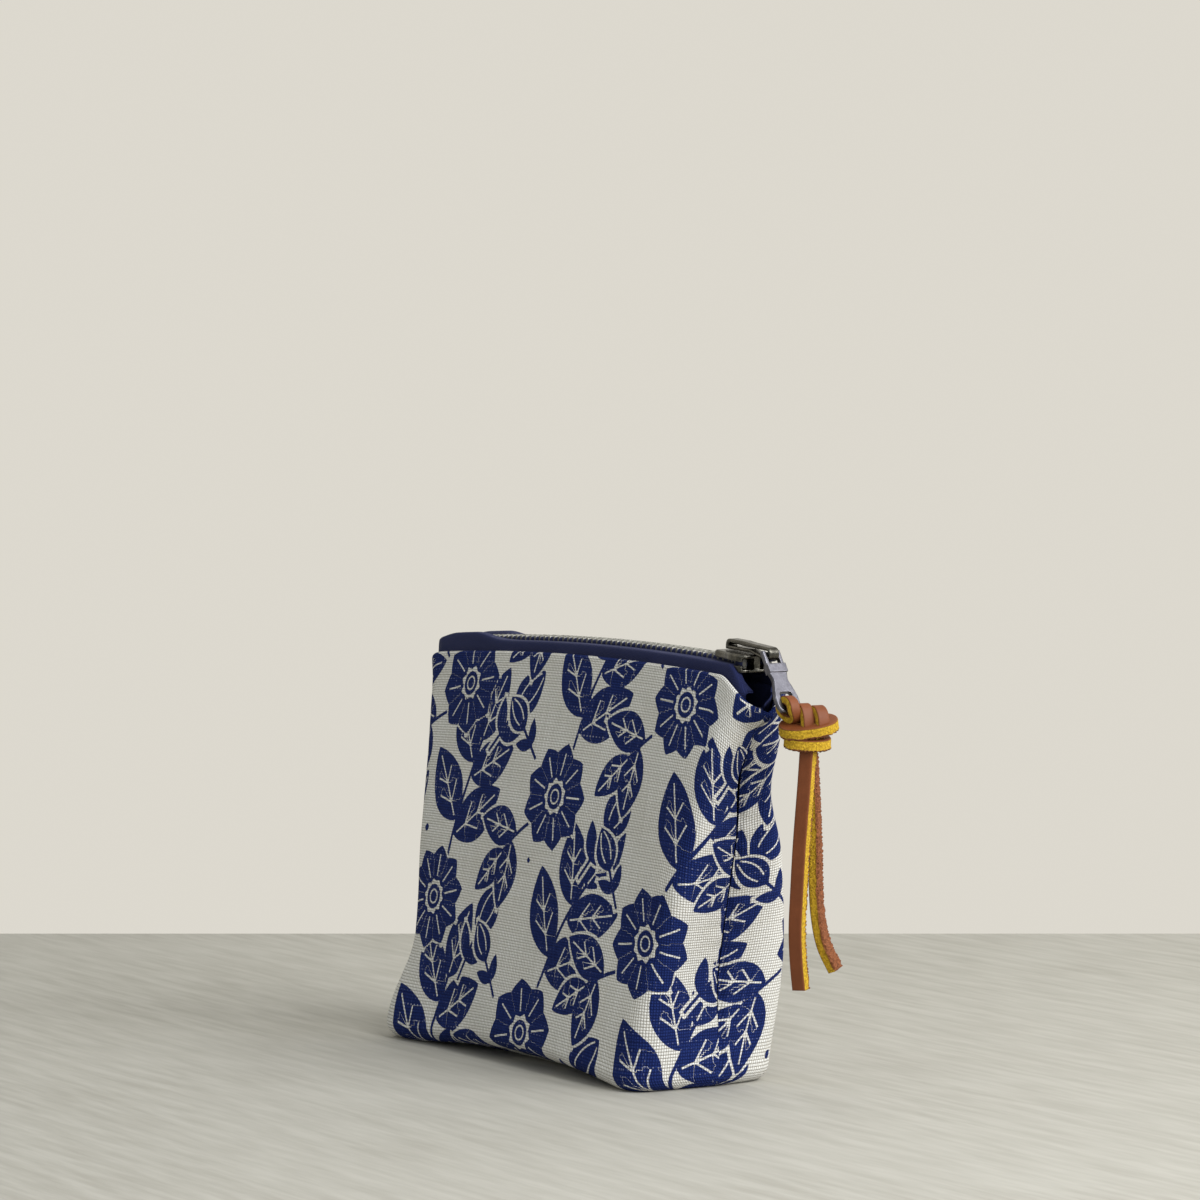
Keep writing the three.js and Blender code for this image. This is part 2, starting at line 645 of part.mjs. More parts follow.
// Outline of the pull: a straight head, a waist and a wider end with round corners.
function pullOutline(narrow) {
  const head = pull_head_width / 2 - narrow;
  const waist = pull_waist_width / 2 - narrow;
  const end = pull_end_width / 2 - narrow;
  const tip = pull_length - narrow;
  const waist_x = head_end + head_length;
  const widest_x = hole_start + rim;
  const shape = new THREE.Shape();
  shape.moveTo(-bar_radius, -head);
  shape.lineTo(head_end, -head);
  shape.quadraticCurveTo(waist_x - 1, -waist, waist_x, -waist);
  shape.quadraticCurveTo(widest_x - 1, -end, widest_x, -end);
  shape.lineTo(tip - end * 0.8, -end);
  shape.quadraticCurveTo(tip, -end, tip, -end * 0.35);
  shape.lineTo(tip, end * 0.35);
  shape.quadraticCurveTo(tip, end, tip - end * 0.8, end);
  shape.lineTo(widest_x, end);
  shape.quadraticCurveTo(widest_x - 1, end, waist_x, waist);
  shape.quadraticCurveTo(waist_x - 1, waist, head_end, head);
  shape.lineTo(-bar_radius, head);
  shape.closePath();
  return shape;
}

// The lace's hole, with round corners.
function laceHole() {
  const half = lace / 2 + lace_gap;
  const corner = 0.8;
  const shape = new THREE.Shape();
  shape.moveTo(hole_end - corner, -half);
  shape.quadraticCurveTo(hole_end, -half, hole_end, -half + corner);
  shape.lineTo(hole_end, half - corner);
  shape.quadraticCurveTo(hole_end, half, hole_end - corner, half);
  shape.lineTo(hole_start + corner, half);
  shape.quadraticCurveTo(hole_start, half, hole_start, half - corner);
  shape.lineTo(hole_start, corner - half);
  shape.quadraticCurveTo(hole_start, -half, hole_start + corner, -half);
  return shape;
}

function pullGeometry() {
  const blank = new THREE.ExtrudeGeometry(pullOutline(pull_edge), {
    depth: pull_thick - 2 * pull_edge, bevelThickness: pull_edge, bevelSize: pull_edge,
    bevelSegments: 1, curveSegments: 8,
  });
  blank.translate(0, 0, -pull_thick / 2 + pull_edge);
  const head = new THREE.BoxGeometry(head_length, pull_head_width, pull_thick + head_swell);
  head.translate(head_start + head_length / 2, 0, 0);
  const cut_length = head_start + 2 * bar_radius;
  const window_cut = new THREE.BoxGeometry(cut_length, window_width, 3 * pull_thick);
  window_cut.translate(head_start - cut_length / 2, 0, 0);
  const bar = new THREE.CylinderGeometry(bar_radius, bar_radius, pull_head_width - pull_edge, 12);
  const hole_cut = standing(laceHole(), -pull_thick, pull_thick, 4);
  const holes = joined(window_cut, hole_cut);
  return toGeometry(joined(blank, head).subtract(holes).add(toSolid(bar)));
}
add('pull_tab', pullGeometry(), 'pull', pull);

// Lace: a loop round the pull's rim, two wraps below it, and two strands. It hangs plumb.
const rim_place = new THREE.Vector3(rim_centre, 0, 0);
pouch.updateMatrixWorld(true);
pull.localToWorld(rim_place);
const knot = new THREE.Group();
knot.position.copy(rim_place);
pouch.add(knot);

const knot_top = -(ring_inner + 1.3);
const strand_top = knot_top - wrap_step - wrap_height - lace_gap;

// One wrap of the knot: a round-cornered band round an oval, tilted a little.
function wrapGeometry(width, depth, level, tilt) {
  const shape = new THREE.Shape();
  shape.absellipse(0, 0, depth / 2 - lace_edge, width / 2 - lace_edge, 0, 2 * Math.PI);
  const geometry = new THREE.ExtrudeGeometry(shape, {
    depth: wrap_height - 2 * lace_edge, bevelThickness: lace_edge, bevelSize: lace_edge,
    bevelSegments: 1, curveSegments: 10,
  });
  geometry.translate(0, 0, lace_edge - wrap_height);
  geometry.rotateX(THREE.MathUtils.degToRad(tilt));
  return geometry.translate(knot_ahead, 0, level);
}

// The lace's section, a square with cut corners, with its middle at (x, 0).
function laceSection(x) {
  const half = lace / 2;
  const cut = half - lace_edge;
  return [
    [-cut, -half], [cut, -half], [half, -cut], [half, cut],
    [cut, half], [-cut, half], [-half, cut], [-half, -cut],
  ].map(([a, b]) => new THREE.Vector2(x + a, b));
}

function knotGeometry() {
  const ring = laceSection(ring_inner + lace / 2);
  const loop = new THREE.LatheGeometry([...ring, ring[0]], 28);
  const upper = wrapGeometry(knot_width, knot_depth, knot_top, 7);
  const lower = wrapGeometry(knot_width - 2, knot_depth - 1, knot_top - wrap_step + lace_gap, -3);
  return toGeometry(joined(loop, upper, lower));
}
add('thong_knot', knotGeometry(), 'leather', knot);

// Strands leave the knot's underside and hang to their cut ends.
function strandGeometry(points) {
  const extrudePath = new THREE.CatmullRomCurve3(points.map((p) => new THREE.Vector3(...p)));
  const section = new THREE.Shape(laceSection(0));
  return new THREE.ExtrudeGeometry(section, { steps: 18, bevelEnabled: false, extrudePath });
}

// Points of the strands below the knot, chosen by hand: across X and Y, and down from the top.
const strand_front_points = [
  [0.6, -1.6, 0], [0.7, -1.7, -8], [0.5, -2.0, -18], [0.0, -2.4, -28], [-0.4, -2.8, -40],
  [-0.4, -2.9, -50], [-0.1, -2.8, -58], [0.2, -2.6, -strand_front_length],
];
const strand_back_points = [
  [1.2, 2.4, 0], [1.3, 2.5, -8], [1.5, 2.6, -18], [1.6, 2.6, -28], [1.9, 2.7, -38],
  [2.7, 3.3, -46], [3.9, 4.5, -53], [5.4, 6.3, -strand_back_length + 1],
];
const hung = (points) => points.map(([x, y, z]) => [x, y, z + strand_top]);
add('thong_strand_front', strandGeometry(hung(strand_front_points)), 'leather', knot);
add('thong_strand_back', strandGeometry(hung(strand_back_points)), 'leather', knot);

export default pouch;
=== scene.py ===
# %% [markdown]
# # A small linen pouch with a zip and a knotted lace
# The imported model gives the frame: where every body is and how it moves. This file dresses it, one piece at
# a time, with surfaces worked out by numpy. All lengths are written in millimetres and turned into metres at
# the moment a mesh is made.

# %% Load the frame and keep its box
import math

import bmesh
import bpy
import numpy as np
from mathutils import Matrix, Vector


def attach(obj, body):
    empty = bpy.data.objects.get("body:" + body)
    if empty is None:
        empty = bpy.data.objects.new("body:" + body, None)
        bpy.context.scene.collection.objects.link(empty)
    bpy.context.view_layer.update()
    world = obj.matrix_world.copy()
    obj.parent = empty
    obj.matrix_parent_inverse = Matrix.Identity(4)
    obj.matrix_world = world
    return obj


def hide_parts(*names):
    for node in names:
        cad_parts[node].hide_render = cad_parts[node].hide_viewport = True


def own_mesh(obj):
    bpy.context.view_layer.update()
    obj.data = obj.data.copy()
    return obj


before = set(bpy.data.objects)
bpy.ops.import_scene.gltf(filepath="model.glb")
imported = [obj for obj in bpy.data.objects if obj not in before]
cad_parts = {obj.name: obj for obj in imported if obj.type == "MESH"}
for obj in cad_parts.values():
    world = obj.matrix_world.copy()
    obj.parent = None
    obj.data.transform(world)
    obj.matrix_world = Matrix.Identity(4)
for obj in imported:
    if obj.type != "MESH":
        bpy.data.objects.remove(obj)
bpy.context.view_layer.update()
MM = 0.001

# %% [markdown]
# ## The camera
# The photograph looks at the end where the slider rests with the zip closed, three quarters on and from a
# little above, with a long lens. The camera comes first, because the size of everything that follows is
# judged through it. Its place and its direction were worked out from the edges of the base and of the zip.
# Further on, that end is called the slider's end, and the other one the far end.

# %% Camera
camera_place = Vector((1064.0, -685.5, 198.0)) * MM
camera_turn = math.radians(57.0)       # from looking along +Y, round to the right
camera_down = math.radians(3.31)
camera_aside = math.radians(-0.012)
focal_share = 4700 / 1200              # focal length over picture width
sensor = 36.0

camera_data = bpy.data.cameras.new("camera")
camera_data.sensor_fit = "HORIZONTAL"
camera_data.sensor_width = sensor
camera_data.lens = sensor * focal_share
camera_data.clip_start = 0.05
camera_data.clip_end = 50.0
camera = bpy.data.objects.new("camera", camera_data)
camera.location = camera_place
camera.rotation_euler = (math.pi / 2 - camera_down, 0.0, camera_turn - camera_aside)
bpy.context.scene.collection.objects.link(camera)
bpy.context.scene.camera = camera
print("lens mm:", round(camera_data.lens, 1))

# %% [markdown]
# ## From arrays to meshes
# Every piece below is a grid of points: rows and columns of a surface. One helper turns such a grid into a
# mesh with a UV map. Rows or columns that meet again are merged, so tubes and rings come out closed.

# %% Grid helpers
def grid_mesh(name, grids, merge=True):
    """One mesh from a list of (points, uv) grids in mm: each cell of a grid becomes one four-sided face."""
    points, faces, uvs, start = [], [], [], 0
    for grid, uv in grids:
        rows, columns = grid.shape[:2]
        index = np.arange(rows * columns).reshape(rows, columns)
        quads = np.stack([index[:-1, :-1], index[1:, :-1], index[1:, 1:], index[:-1, 1:]], -1).reshape(-1, 4)
        points.append(grid.reshape(-1, 3) * MM)
        uvs.append(uv.reshape(-1, 2)[quads.ravel()])
        faces.append(quads + start)
        start += rows * columns
    mesh = bpy.data.meshes.new(name)
    mesh.from_pydata(np.concatenate(points).tolist(), [], np.concatenate(faces).tolist())
    layer = mesh.uv_layers.new(name="UVMap")
    layer.data.foreach_set("uv", np.concatenate(uvs).astype(np.float32).ravel())
    if merge:
        work = bmesh.new()
        work.from_mesh(mesh)
        bmesh.ops.remove_doubles(work, verts=work.verts, dist=2e-6)
        work.to_mesh(mesh)
        work.free()
    mesh.shade_smooth()
    return mesh


def piece(name, mesh, finish, body, replaces=(), sharp=None):
    """An object for the mesh that rides on a body, in place of the named nodes."""
    obj = bpy.data.objects.new(name, mesh)
    bpy.context.scene.collection.objects.link(obj)
    obj.data.materials.append(finish)
    if sharp is not None:
        mesh.set_sharp_from_angle(angle=math.radians(sharp))
    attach(obj, body)
    if replaces:
        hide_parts(*replaces)
    print(name, "faces:", len(mesh.polygons))
    return obj


def arc(points, axis):
    """Length run along one axis of a line or a grid of points, from its start: the sum of the steps."""
    steps = np.linalg.norm(np.diff(points, axis=axis), axis=-1)
    start = np.zeros_like(np.take(steps, [0], axis=axis))
    return np.concatenate([start, np.cumsum(steps, axis=axis)], axis=axis)


def spline(control, places):
    """Catmull-Rom line through control points: at place 0 it is at the first one, at 1 at the second, and
    between them a cubic curve that also looks at the neighbours on both sides."""
    ends = np.concatenate([[2 * control[0] - control[1]], control, [2 * control[-1] - control[-2]]])
    k = np.minimum(places.astype(int), len(control) - 2)
    t = (places - k).reshape(-1, *[1] * (control.ndim - 1))
    p0, p1, p2, p3 = ends[k], ends[k + 1], ends[k + 2], ends[k + 3]
    return 0.5 * (2 * p1 + (p2 - p0) * t + (2 * p0 - 5 * p1 + 4 * p2 - p3) * t ** 2
                  + (3 * p1 - p0 - 3 * p2 + p3) * t ** 3)


def unit(vectors):
    """Vectors divided by their own length, along the last axis."""
    return vectors / np.maximum(np.linalg.norm(vectors, axis=-1, keepdims=True), 1e-9)


def smooth(low, high, value):
    """0 at low and before it, 1 at high and past it, and 3x^2 - 2x^3 of the share between. With low above
    high it runs the other way."""
    share = np.clip((value - low) / (high - low), 0, 1)
    return share * share * (3 - 2 * share)


def mix(a, b, share):
    """a at share 0, b at share 1, in a straight line between."""
    return a + (b - a) * share

# %% [markdown]
# ## Finishes
# A finish is a small net of nodes. These helpers add a node and hand on its output, so that a formula can be
# written in one line. Nothing reads the camera: colour and bump come from a piece's own UV map, from an
# attribute, or from Object coordinates.

# %% Node helpers
def new_finish(name, roughness, metallic=0.0):
    """An empty finish with its shader's fixed numbers set on the shader's own sockets."""
    finish = bpy.data.materials.new(name)
    finish.use_nodes = True
    shader = finish.node_tree.nodes["Principled BSDF"]
    shader.inputs["Roughness"].default_value = roughness
    shader.inputs["Metallic"].default_value = metallic
    return finish, finish.node_tree, shader


def feed(tree, socket, value):
    """Links a socket to another one, or sets it to a number or a colour."""
    if isinstance(value, bpy.types.NodeSocket):
        tree.links.new(value, socket)
    else:
        socket.default_value = value


def calc(tree, operation, a, b=0.0, c=0.0):
    """One step of arithmetic on sockets or numbers."""
    step = tree.nodes.new("ShaderNodeMath")
    step.operation = operation
    for socket, value in zip(step.inputs, (a, b, c)):
        feed(tree, socket, value)
    return step.outputs[0]


def ramp(tree, value, low, high, to_low=0.0, to_high=1.0):
    """Value mapped from low..high to to_low..to_high, and held there outside."""
    step = tree.nodes.new("ShaderNodeMapRange")
    for socket, number in zip(step.inputs[:5], (value, low, high, to_low, to_high)):
        feed(tree, socket, number)
    return step.outputs[0]


def tint(tree, share, first, second):
    """Two colours mixed by a share."""
    step = tree.nodes.new("ShaderNodeMix")
    step.data_type = "RGBA"
    feed(tree, step.inputs[0], share)
    feed(tree, step.inputs[6], first if isinstance(first, bpy.types.NodeSocket) else (*first, 1))
    feed(tree, step.inputs[7], second if isinstance(second, bpy.types.NodeSocket) else (*second, 1))
    return step.outputs[2]


def spread_out(tree, vector, scales):
    """A vector times three scales."""
    step = tree.nodes.new("ShaderNodeVectorMath")
    step.operation = "MULTIPLY"
    feed(tree, step.inputs[0], vector)
    step.inputs[1].default_value = scales
    return step.outputs[0]


def speckle(tree, vector, scale, detail=2.0, rough=0.5):
    """Soft noise from 0 to 1 with about scale bumps in one unit of the vector."""
    step = tree.nodes.new("ShaderNodeTexNoise")
    feed(tree, step.inputs["Vector"], vector)
    step.inputs["Scale"].default_value = scale
    step.inputs["Detail"].default_value = detail
    step.inputs["Roughness"].default_value = rough
    return step.outputs["Fac"]


def relief(tree, shader, height, depth, strength=1.0):
    """Bump whose height of 1 stands depth mm out."""
    step = tree.nodes.new("ShaderNodeBump")
    step.inputs["Strength"].default_value = strength
    step.inputs["Distance"].default_value = depth * MM
    feed(tree, step.inputs["Height"], height)
    tree.links.new(step.outputs[0], shader.inputs["Normal"])


def place_of(tree, output="Object"):
    """The texture coordinates of that name."""
    return tree.nodes.new("ShaderNodeTexCoord").outputs[output]


def split(tree, vector):
    """The three numbers of a vector."""
    step = tree.nodes.new("ShaderNodeSeparateXYZ")
    feed(tree, step.inputs[0], vector)
    return step.outputs


def stored(tree, name):
    """The number that a mesh keeps under that name at each of its points."""
    step = tree.nodes.new("ShaderNodeAttribute")
    step.attribute_name = name
    return step.outputs["Fac"]


def counted(finish):
    """Hands a finish on after printing how many nodes it has."""
    print(finish.name, "nodes:", len(finish.node_tree.nodes))
    return finish

# %% [markdown]
# ## The leather's finish
# The lace is cut from thick hide. Its grain face is brown and smooth, its two cut sides show the yellow
# middle of the hide, and its flesh side is brown and fuzzy. The UV map says which side is which: its second
# number runs once round the section, 0 to 1 on the grain, 1 to 2 on a cut side, 2 to 3 on the flesh and 3 to
# 4 on the other cut side.

# %% Leather finish
def leather_finish():
    """Brown grain with a little gloss, and dull yellow cut sides and brown flesh with fibres that stand up,
    picked by the place round the section."""
    finish, tree, shader = new_finish("leather", 0.62)
    shader.inputs["Specular IOR Level"].default_value = 0.3
    across = split(tree, place_of(tree, "UV"))[1]
    place = place_of(tree)
    fibres = speckle(tree, place, 1700, 3, 0.65)
    blotches = speckle(tree, place, 190, 2)
    wobble = calc(tree, "MULTIPLY_ADD", speckle(tree, place, 420, 2), 0.34, -0.17)
    turn = calc(tree, "PINGPONG", calc(tree, "SUBTRACT", across, 0.5), 2.0)   # 0 mid grain, 2 mid flesh
    loose = calc(tree, "MULTIPLY", wobble, ramp(tree, turn, 0.9, 1.5))
    turn = calc(tree, "ADD", turn, loose)
    on_cut = calc(tree, "MULTIPLY", ramp(tree, turn, 0.50, 0.56), ramp(tree, turn, 1.46, 1.36))
    on_flesh = ramp(tree, turn, 1.36, 1.50)
    grain = tint(tree, blotches, (0.125, 0.033, 0.008), (0.215, 0.060, 0.017))
    core = tint(tree, ramp(tree, fibres, 0.34, 0.66), (0.32, 0.18, 0.008), (0.68, 0.43, 0.026))
    flesh = tint(tree, ramp(tree, fibres, 0.3, 0.7), (0.10, 0.030, 0.010), (0.33, 0.115, 0.045))
    colour = tint(tree, on_flesh, tint(tree, on_cut, grain, core), flesh)
    tree.links.new(colour, shader.inputs["Base Color"])
    rough_sides = calc(tree, "MAXIMUM", on_cut, on_flesh)
    tree.links.new(calc(tree, "MULTIPLY_ADD", rough_sides, 0.35, 0.55), shader.inputs["Roughness"])
    height = calc(tree, "MULTIPLY", fibres, ramp(tree, rough_sides, 0, 1, 0.08, 1.0))
    relief(tree, shader, height, 0.45)
    return finish


leather = counted(leather_finish())

# %% [markdown]
# ## The lace, first of all
# The two hanging ends of the lace are cords, so they come before the other pieces. A strip of leather is a
# flat section with rounded corners, carried along a line of points. The section turns little on its way: one
# side keeps facing the same way, as on a strip that hangs under its own weight.

# %% Strip along a path
strand_wide, strand_thick = 3.9, 2.6
lace_edge = 0.5
pivot = np.array([91.1595, 3.5, 101.1224])       # middle of the pull's rim, where the loop hangs
rim, pull_thick, lace_gap = 1.8, 1.4, 0.3
ring_inner = math.hypot(rim, pull_thick) / 2 + lace_gap
knot_below, knot_aside = 1.3, 4.8                # the knot's place under the ring and to the pivot's right
knot_top = -(ring_inner + knot_below)
wrap_step, wrap_height = 3.8, 3.6
right = np.array([math.cos(camera_turn), math.sin(camera_turn), 0.0])     # along the picture, to the right
near = np.array([math.sin(camera_turn), -math.cos(camera_turn), 0.0])     # towards the camera, level
strand_top = knot_top - wrap_step - wrap_height - lace_gap


def curve_through(points, count):
    """Smooth line through the points, taken at places that are even by length, and its whole length."""
    line = spline(points, np.linspace(0, len(points) - 1, 12 * count))
    run = arc(line, 0)
    even = np.linspace(0, run[-1], count)
    return np.stack([np.interp(even, run, line[:, a]) for a in range(3)], 1), run[-1]


def strip_section(wide, thick, steps=5):
    """Closed outline of a strip, corners rounded by lace_edge, as (across, out, side) with side 0 to 4.
    It starts on the grain face and goes round by a cut side, the flesh and the other cut side."""
    corners = [(1, 1, 0), (1, -1, 1), (-1, -1, 2), (-1, 1, 3)]
    across, out, side = [], [], []
    for sign_a, sign_o, number in corners:
        middle_a = sign_a * (wide / 2 - lace_edge)
        middle_o = sign_o * (thick / 2 - lace_edge)
        start = math.pi / 2 - number * math.pi / 2
        angles = start - np.linspace(0, math.pi / 2, steps)
        across += list(middle_a + lace_edge * np.cos(angles))
        out += list(middle_o + lace_edge * np.sin(angles))
        side += list(number + 0.9 + np.linspace(0, 0.2, steps))
    across, out, side = np.array(across), np.array(out), np.array(side)
    after = (np.arange(len(side)) + 1) % len(side)
    gap = side[after] - side + np.where(after == 0, 4, 0)
    parts = np.where(gap > 0.5, 6, 1)                 # the flat sides get six faces, a corner's steps one
    k = np.repeat(np.arange(len(side)), parts)
    share = (np.arange(len(k)) - (np.cumsum(parts) - parts)[k]) / parts[k]
    across, out = mix(across[k], across[after[k]], share), mix(out[k], out[after[k]], share)
    side = side[k] + gap[k] * share
    return np.append(across, across[0]), np.append(out, out[0]), np.append(side, side[0] + 4)


def strip_grid(line, grain_way, wide, thick, closed=False, ragged=0.0, seed=1):
    """The section carried along a line. Its out axis is grain_way, the direction that the grain face looks
    in, less the part of it along the line. Its across axis is square to both. Ragged is how far the fibres
    of the flesh side stand out."""
    tangent = unit(np.gradient(line, axis=0))
    if closed:
        tangent = unit(np.roll(line[:-1], -1, 0) - np.roll(line[:-1], 1, 0))
        tangent = np.vstack([tangent, tangent[:1]])
    grain_way = np.broadcast_to(np.asarray(grain_way, float), line.shape)
    out = unit(grain_way - np.sum(grain_way * tangent, 1, keepdims=True) * tangent)
    across = np.cross(tangent, out)
    a, o, s = strip_section(wide, thick)
    rng = np.random.default_rng(seed)
    from_grain = np.abs((s + 1.5) % 4 - 2)
    rough = (rng.random((len(line), len(a))) - 0.4) * ragged * smooth(1.25, 1.6, from_grain)[None, :]
    rough[:, -1] = rough[:, 0]
    if closed:
        rough[-1] = rough[0]
    size = 1 + rough / (wide / 2)
    grid = line[:, None] + across[:, None] * (a[None, :] * size)[..., None] \
        + out[:, None] * (o[None, :] * size)[..., None]
    uv = np.stack(np.broadcast_arrays(arc(line, 0)[:, None], s[None, :]), -1)
    return grid, uv


def cap_grids(grid):
    """Flat ends for a strip: rings that shrink to the middle of the section, in even steps."""
    made = []
    for row, way in ((0, 1), (-1, -1)):
        middle = grid[row, :-1].mean(0)
        share = np.linspace(0, 1, 4)[:, None, None]
        rings = mix(grid[row][None], middle[None, None], share)
        flat = np.broadcast_to(np.array([0.0, 1.5]), rings.shape[:2] + (2,))
        made.append((rings[::-1] if way > 0 else rings, flat))
    return made


def aside(r, n, z):
    """Places told from the loop's pivot: r along the picture, n towards the camera, z up."""
    return pivot + np.stack(np.broadcast_arrays(r, n, z), -1) @ np.array([right, near, [0, 0, 1.0]])


def fitted(points):
    """Points of a strand told from below the knot, as (r, n, z)."""
    r, n, z = np.array(points, float).T
    return aside(r, n, z + strand_top)


def looks(r, n):
    """Level direction with r parts of the picture's right and n parts towards the camera."""
    return r * right + n * near


front_points = fitted([[4.7, 0.9, 1.2], [4.1, 1.0, -8.2], [2.9, 1.3, -24.2], [2.2, 1.5, -37.6],
                       [1.9, 1.5, -45.7], [2.2, 1.3, -53.5], [2.9, 0.9, -61.0]])
back_points = fitted([[5.6, -2.7, 1.0], [6.2, -2.7, -11], [6.7, -2.6, -24.2], [6.8, -2.6, -34.8],
                      [7.4, -2.5, -42.9], [8.9, -2.6, -50], [11.9, -3.0, -56.4]])
front_look = looks(-0.45, 0.89)
for name, points, first, last, seed in (
        ("front", front_points, front_look, looks(-0.52, 0.85), 3),
        ("back", back_points, looks(-0.97, -0.22), looks(-0.86, -0.50), 4)):
    line, length = curve_through(points, 190)
    grain = mix(first, last, np.linspace(0, 1, len(line))[:, None])
    grid, uv = strip_grid(line, grain, strand_wide, strand_thick, ragged=0.75, seed=seed)
    mesh = grid_mesh("lace_end_" + name, [(grid, uv), *cap_grids(grid)])
    strand = piece("lace_end_" + name, mesh, leather, "lace", ["thong_strand_" + name])
    print("length mm:", round(length, 1))

# %% [markdown]
# ## The knot
# The lace goes through the hole of the metal pull, over its rim, and is wrapped round itself twice. Each
# wrap lies with its grain up, so the yellow cut side looks outwards. They are strips again, along ovals that
# are tilted a little, and the bights over the knot are two small arches.

# %% Knot
def oval(long, deep, level, lean, tip, at=0.0, square=2.5, count=110):
    """Rounded oval |r/a|^k + |n/b|^k = 1 about the knot's middle. It rises by lean degrees to the right and
    falls by tip degrees towards the camera."""
    angle = np.linspace(0, 2 * math.pi, count)
    c, s = np.cos(angle), np.sin(angle)
    radius = (np.abs(c) ** square + np.abs(s) ** square) ** (-1 / square)
    r, n = long / 2 * radius * s, deep / 2 * radius * c
    rise, fall = math.tan(math.radians(lean)), math.tan(math.radians(tip))
    return aside(knot_aside + at + r, n, level + rise * r - fall * n)


def tipped(lean, tip):
    """Direction that the grain of such an oval looks in."""
    rise, fall = math.tan(math.radians(lean)), math.tan(math.radians(tip))
    return unit(np.array([0, 0, 1.0]) - rise * right + fall * near)


wrap_wide, wrap_thick = 4.2, 2.9
loop_wide, loop_thick = 3.0, 2.2
bight_wide, bight_thick = 3.5, 2.0
core_wide, core_thick = 6.6, 4.6
upper_long, upper_deep, lower_long, lower_deep = 15.2, 10.4, 12.0, 9.4      # outer sizes of the two wraps
upper_tilt, lower_tilt = (7, 17), (-2, 10)                                  # lean and tip in degrees
upper_line = oval(upper_long - wrap_wide, upper_deep - wrap_wide, knot_top - 1.5, *upper_tilt)
lower_line = oval(lower_long - wrap_wide, lower_deep - wrap_wide, knot_top - wrap_step - 1.6, *lower_tilt,
                  at=-0.3)
angle = np.linspace(0, 2 * math.pi, 72)
loop_room = 2.3                                            # thickness that the loop has in the hole
ring = ring_inner + loop_room / 2
loop_line = pivot + np.stack([ring * np.cos(angle), -0.6 + 1.6 * smooth(0.2, -1.0, np.sin(angle)),
                              ring * np.sin(angle)], 1)
outwards = np.stack([np.cos(angle), 0 * angle, np.sin(angle)], 1)
arch = np.linspace(-0.35, math.pi + 0.35, 44)
bight_turn = 0.5                                           # radians, from the camera's way to the right
over = looks(math.sin(bight_turn), math.cos(bight_turn))
arches = []
for at, reach, high in ((3.4, 2.3, 4.4), (7.0, 2.6, 3.9)):
    line = aside(at, 0.3, knot_top - 0.9 + high * np.sin(arch)) + reach * np.cos(arch)[:, None] * over
    arches.append((line, np.cos(arch)[:, None] * over + np.sin(arch)[:, None] * np.array([0, 0, 1.0])))
knot_parts = [
    strip_grid(upper_line, tipped(*upper_tilt), wrap_wide, wrap_thick, closed=True, ragged=0.5, seed=5),
    strip_grid(lower_line, tipped(*lower_tilt), wrap_wide, wrap_thick, closed=True, ragged=0.6, seed=6),
    strip_grid(loop_line, outwards, loop_wide, loop_thick, closed=True, ragged=0.2, seed=7),
    *(strip_grid(line, out, bight_wide, bight_thick, ragged=0.2, seed=8) for line, out in arches),
]
core_line = aside(knot_aside, 0.0, np.linspace(knot_top - 0.6, strand_top + 0.2, 32))
core_grid, core_uv = strip_grid(core_line, front_look, core_wide, core_thick, ragged=0.1, seed=9)
knot_parts += [(core_grid, core_uv), *cap_grids(core_grid)]
knot = piece("lace_knot", grid_mesh("lace_knot", knot_parts), leather, "lace", ["thong_knot"])

# %% [markdown]
# ## The pouch's form
# One half of the pouch is a surface over two numbers: t, the share of the height, and q, the place from the
# left seam to the right one. A level section is five stretches: a straight side from the seam, a rounded
# corner, the slightly full face, and the same again. The walls shrink in depth towards the zip and grow in
# length, and they turn under at the base.

# %% Sizes of the pouch
base_left, base_right, base_front, base_back = 59.0, 57.0, 23.5, 23.5      # from the middle of the base
zip_x, zip_y = 3.0, 3.5                                                    # middle of the zip over the base
top_half_length, ear_wide = 81.0, 3.5
top_corner = top_half_length - ear_wide
mouth_half_depth = 8.2
cloth, lining_cloth, layer_gap, half_seam = 1.2, 0.5, 0.3, 0.04
base_round, corner_round, top_corner_round = 4.5, 9.0, 6.0
edge_below_chain, ear_drop, ear_length = 3.0, 9.5, 13.0
base_lift, flat_strip, lift_top, belly = 3.8, 8.0, 32.0, 1.6
flare, flare_top = 8.0, 30.0
back_swell, back_pinch = 4.6, 3.8     # the back panel near the slider's end: full low down, drawn in above
swell_height, pinch_height = 38, 80
chain_height, ridge_radius, ridge_top_x = 113.6, 1100.0, 18.0


def ridge(x):
    """Height of the zip's line: an arc of ridge_radius with its highest point over ridge_top_x."""
    return chain_height - ridge_radius + np.sqrt(ridge_radius ** 2 - (x - ridge_top_x) ** 2)


def edge_height(x, side):
    """Height of the linen's top edge: below the ridge, and falling along the ears. At the far end it falls
    little, by a cube. At the slider's end the front falls by a power of 1.6, and the back by one of 3.6, as
    its ear stands up until close to the seam."""
    along = np.maximum(0, (np.abs(x - zip_x) - (top_half_length - ear_length)) / ear_length)
    drop = np.where(x < zip_x, 0.42 * ear_drop * along ** 3, ear_drop * along ** (3.6 if side > 0 else 1.6))
    return ridge(x) - edge_below_chain - drop


def seam_out(t):
    """How far a side seam stands out of its corner line: smooth steps between six places."""
    shares = np.array([0, 0.3, 0.62, 0.8, 0.93, 1])
    outs = np.array([2.6, -3.6, -3.6, -6.2, -3.1, 3.5])
    k = np.clip(np.searchsorted(shares, t, side="left") - 1, 0, 4)
    return mix(outs[k], outs[k + 1], smooth(shares[k], shares[k + 1], t))


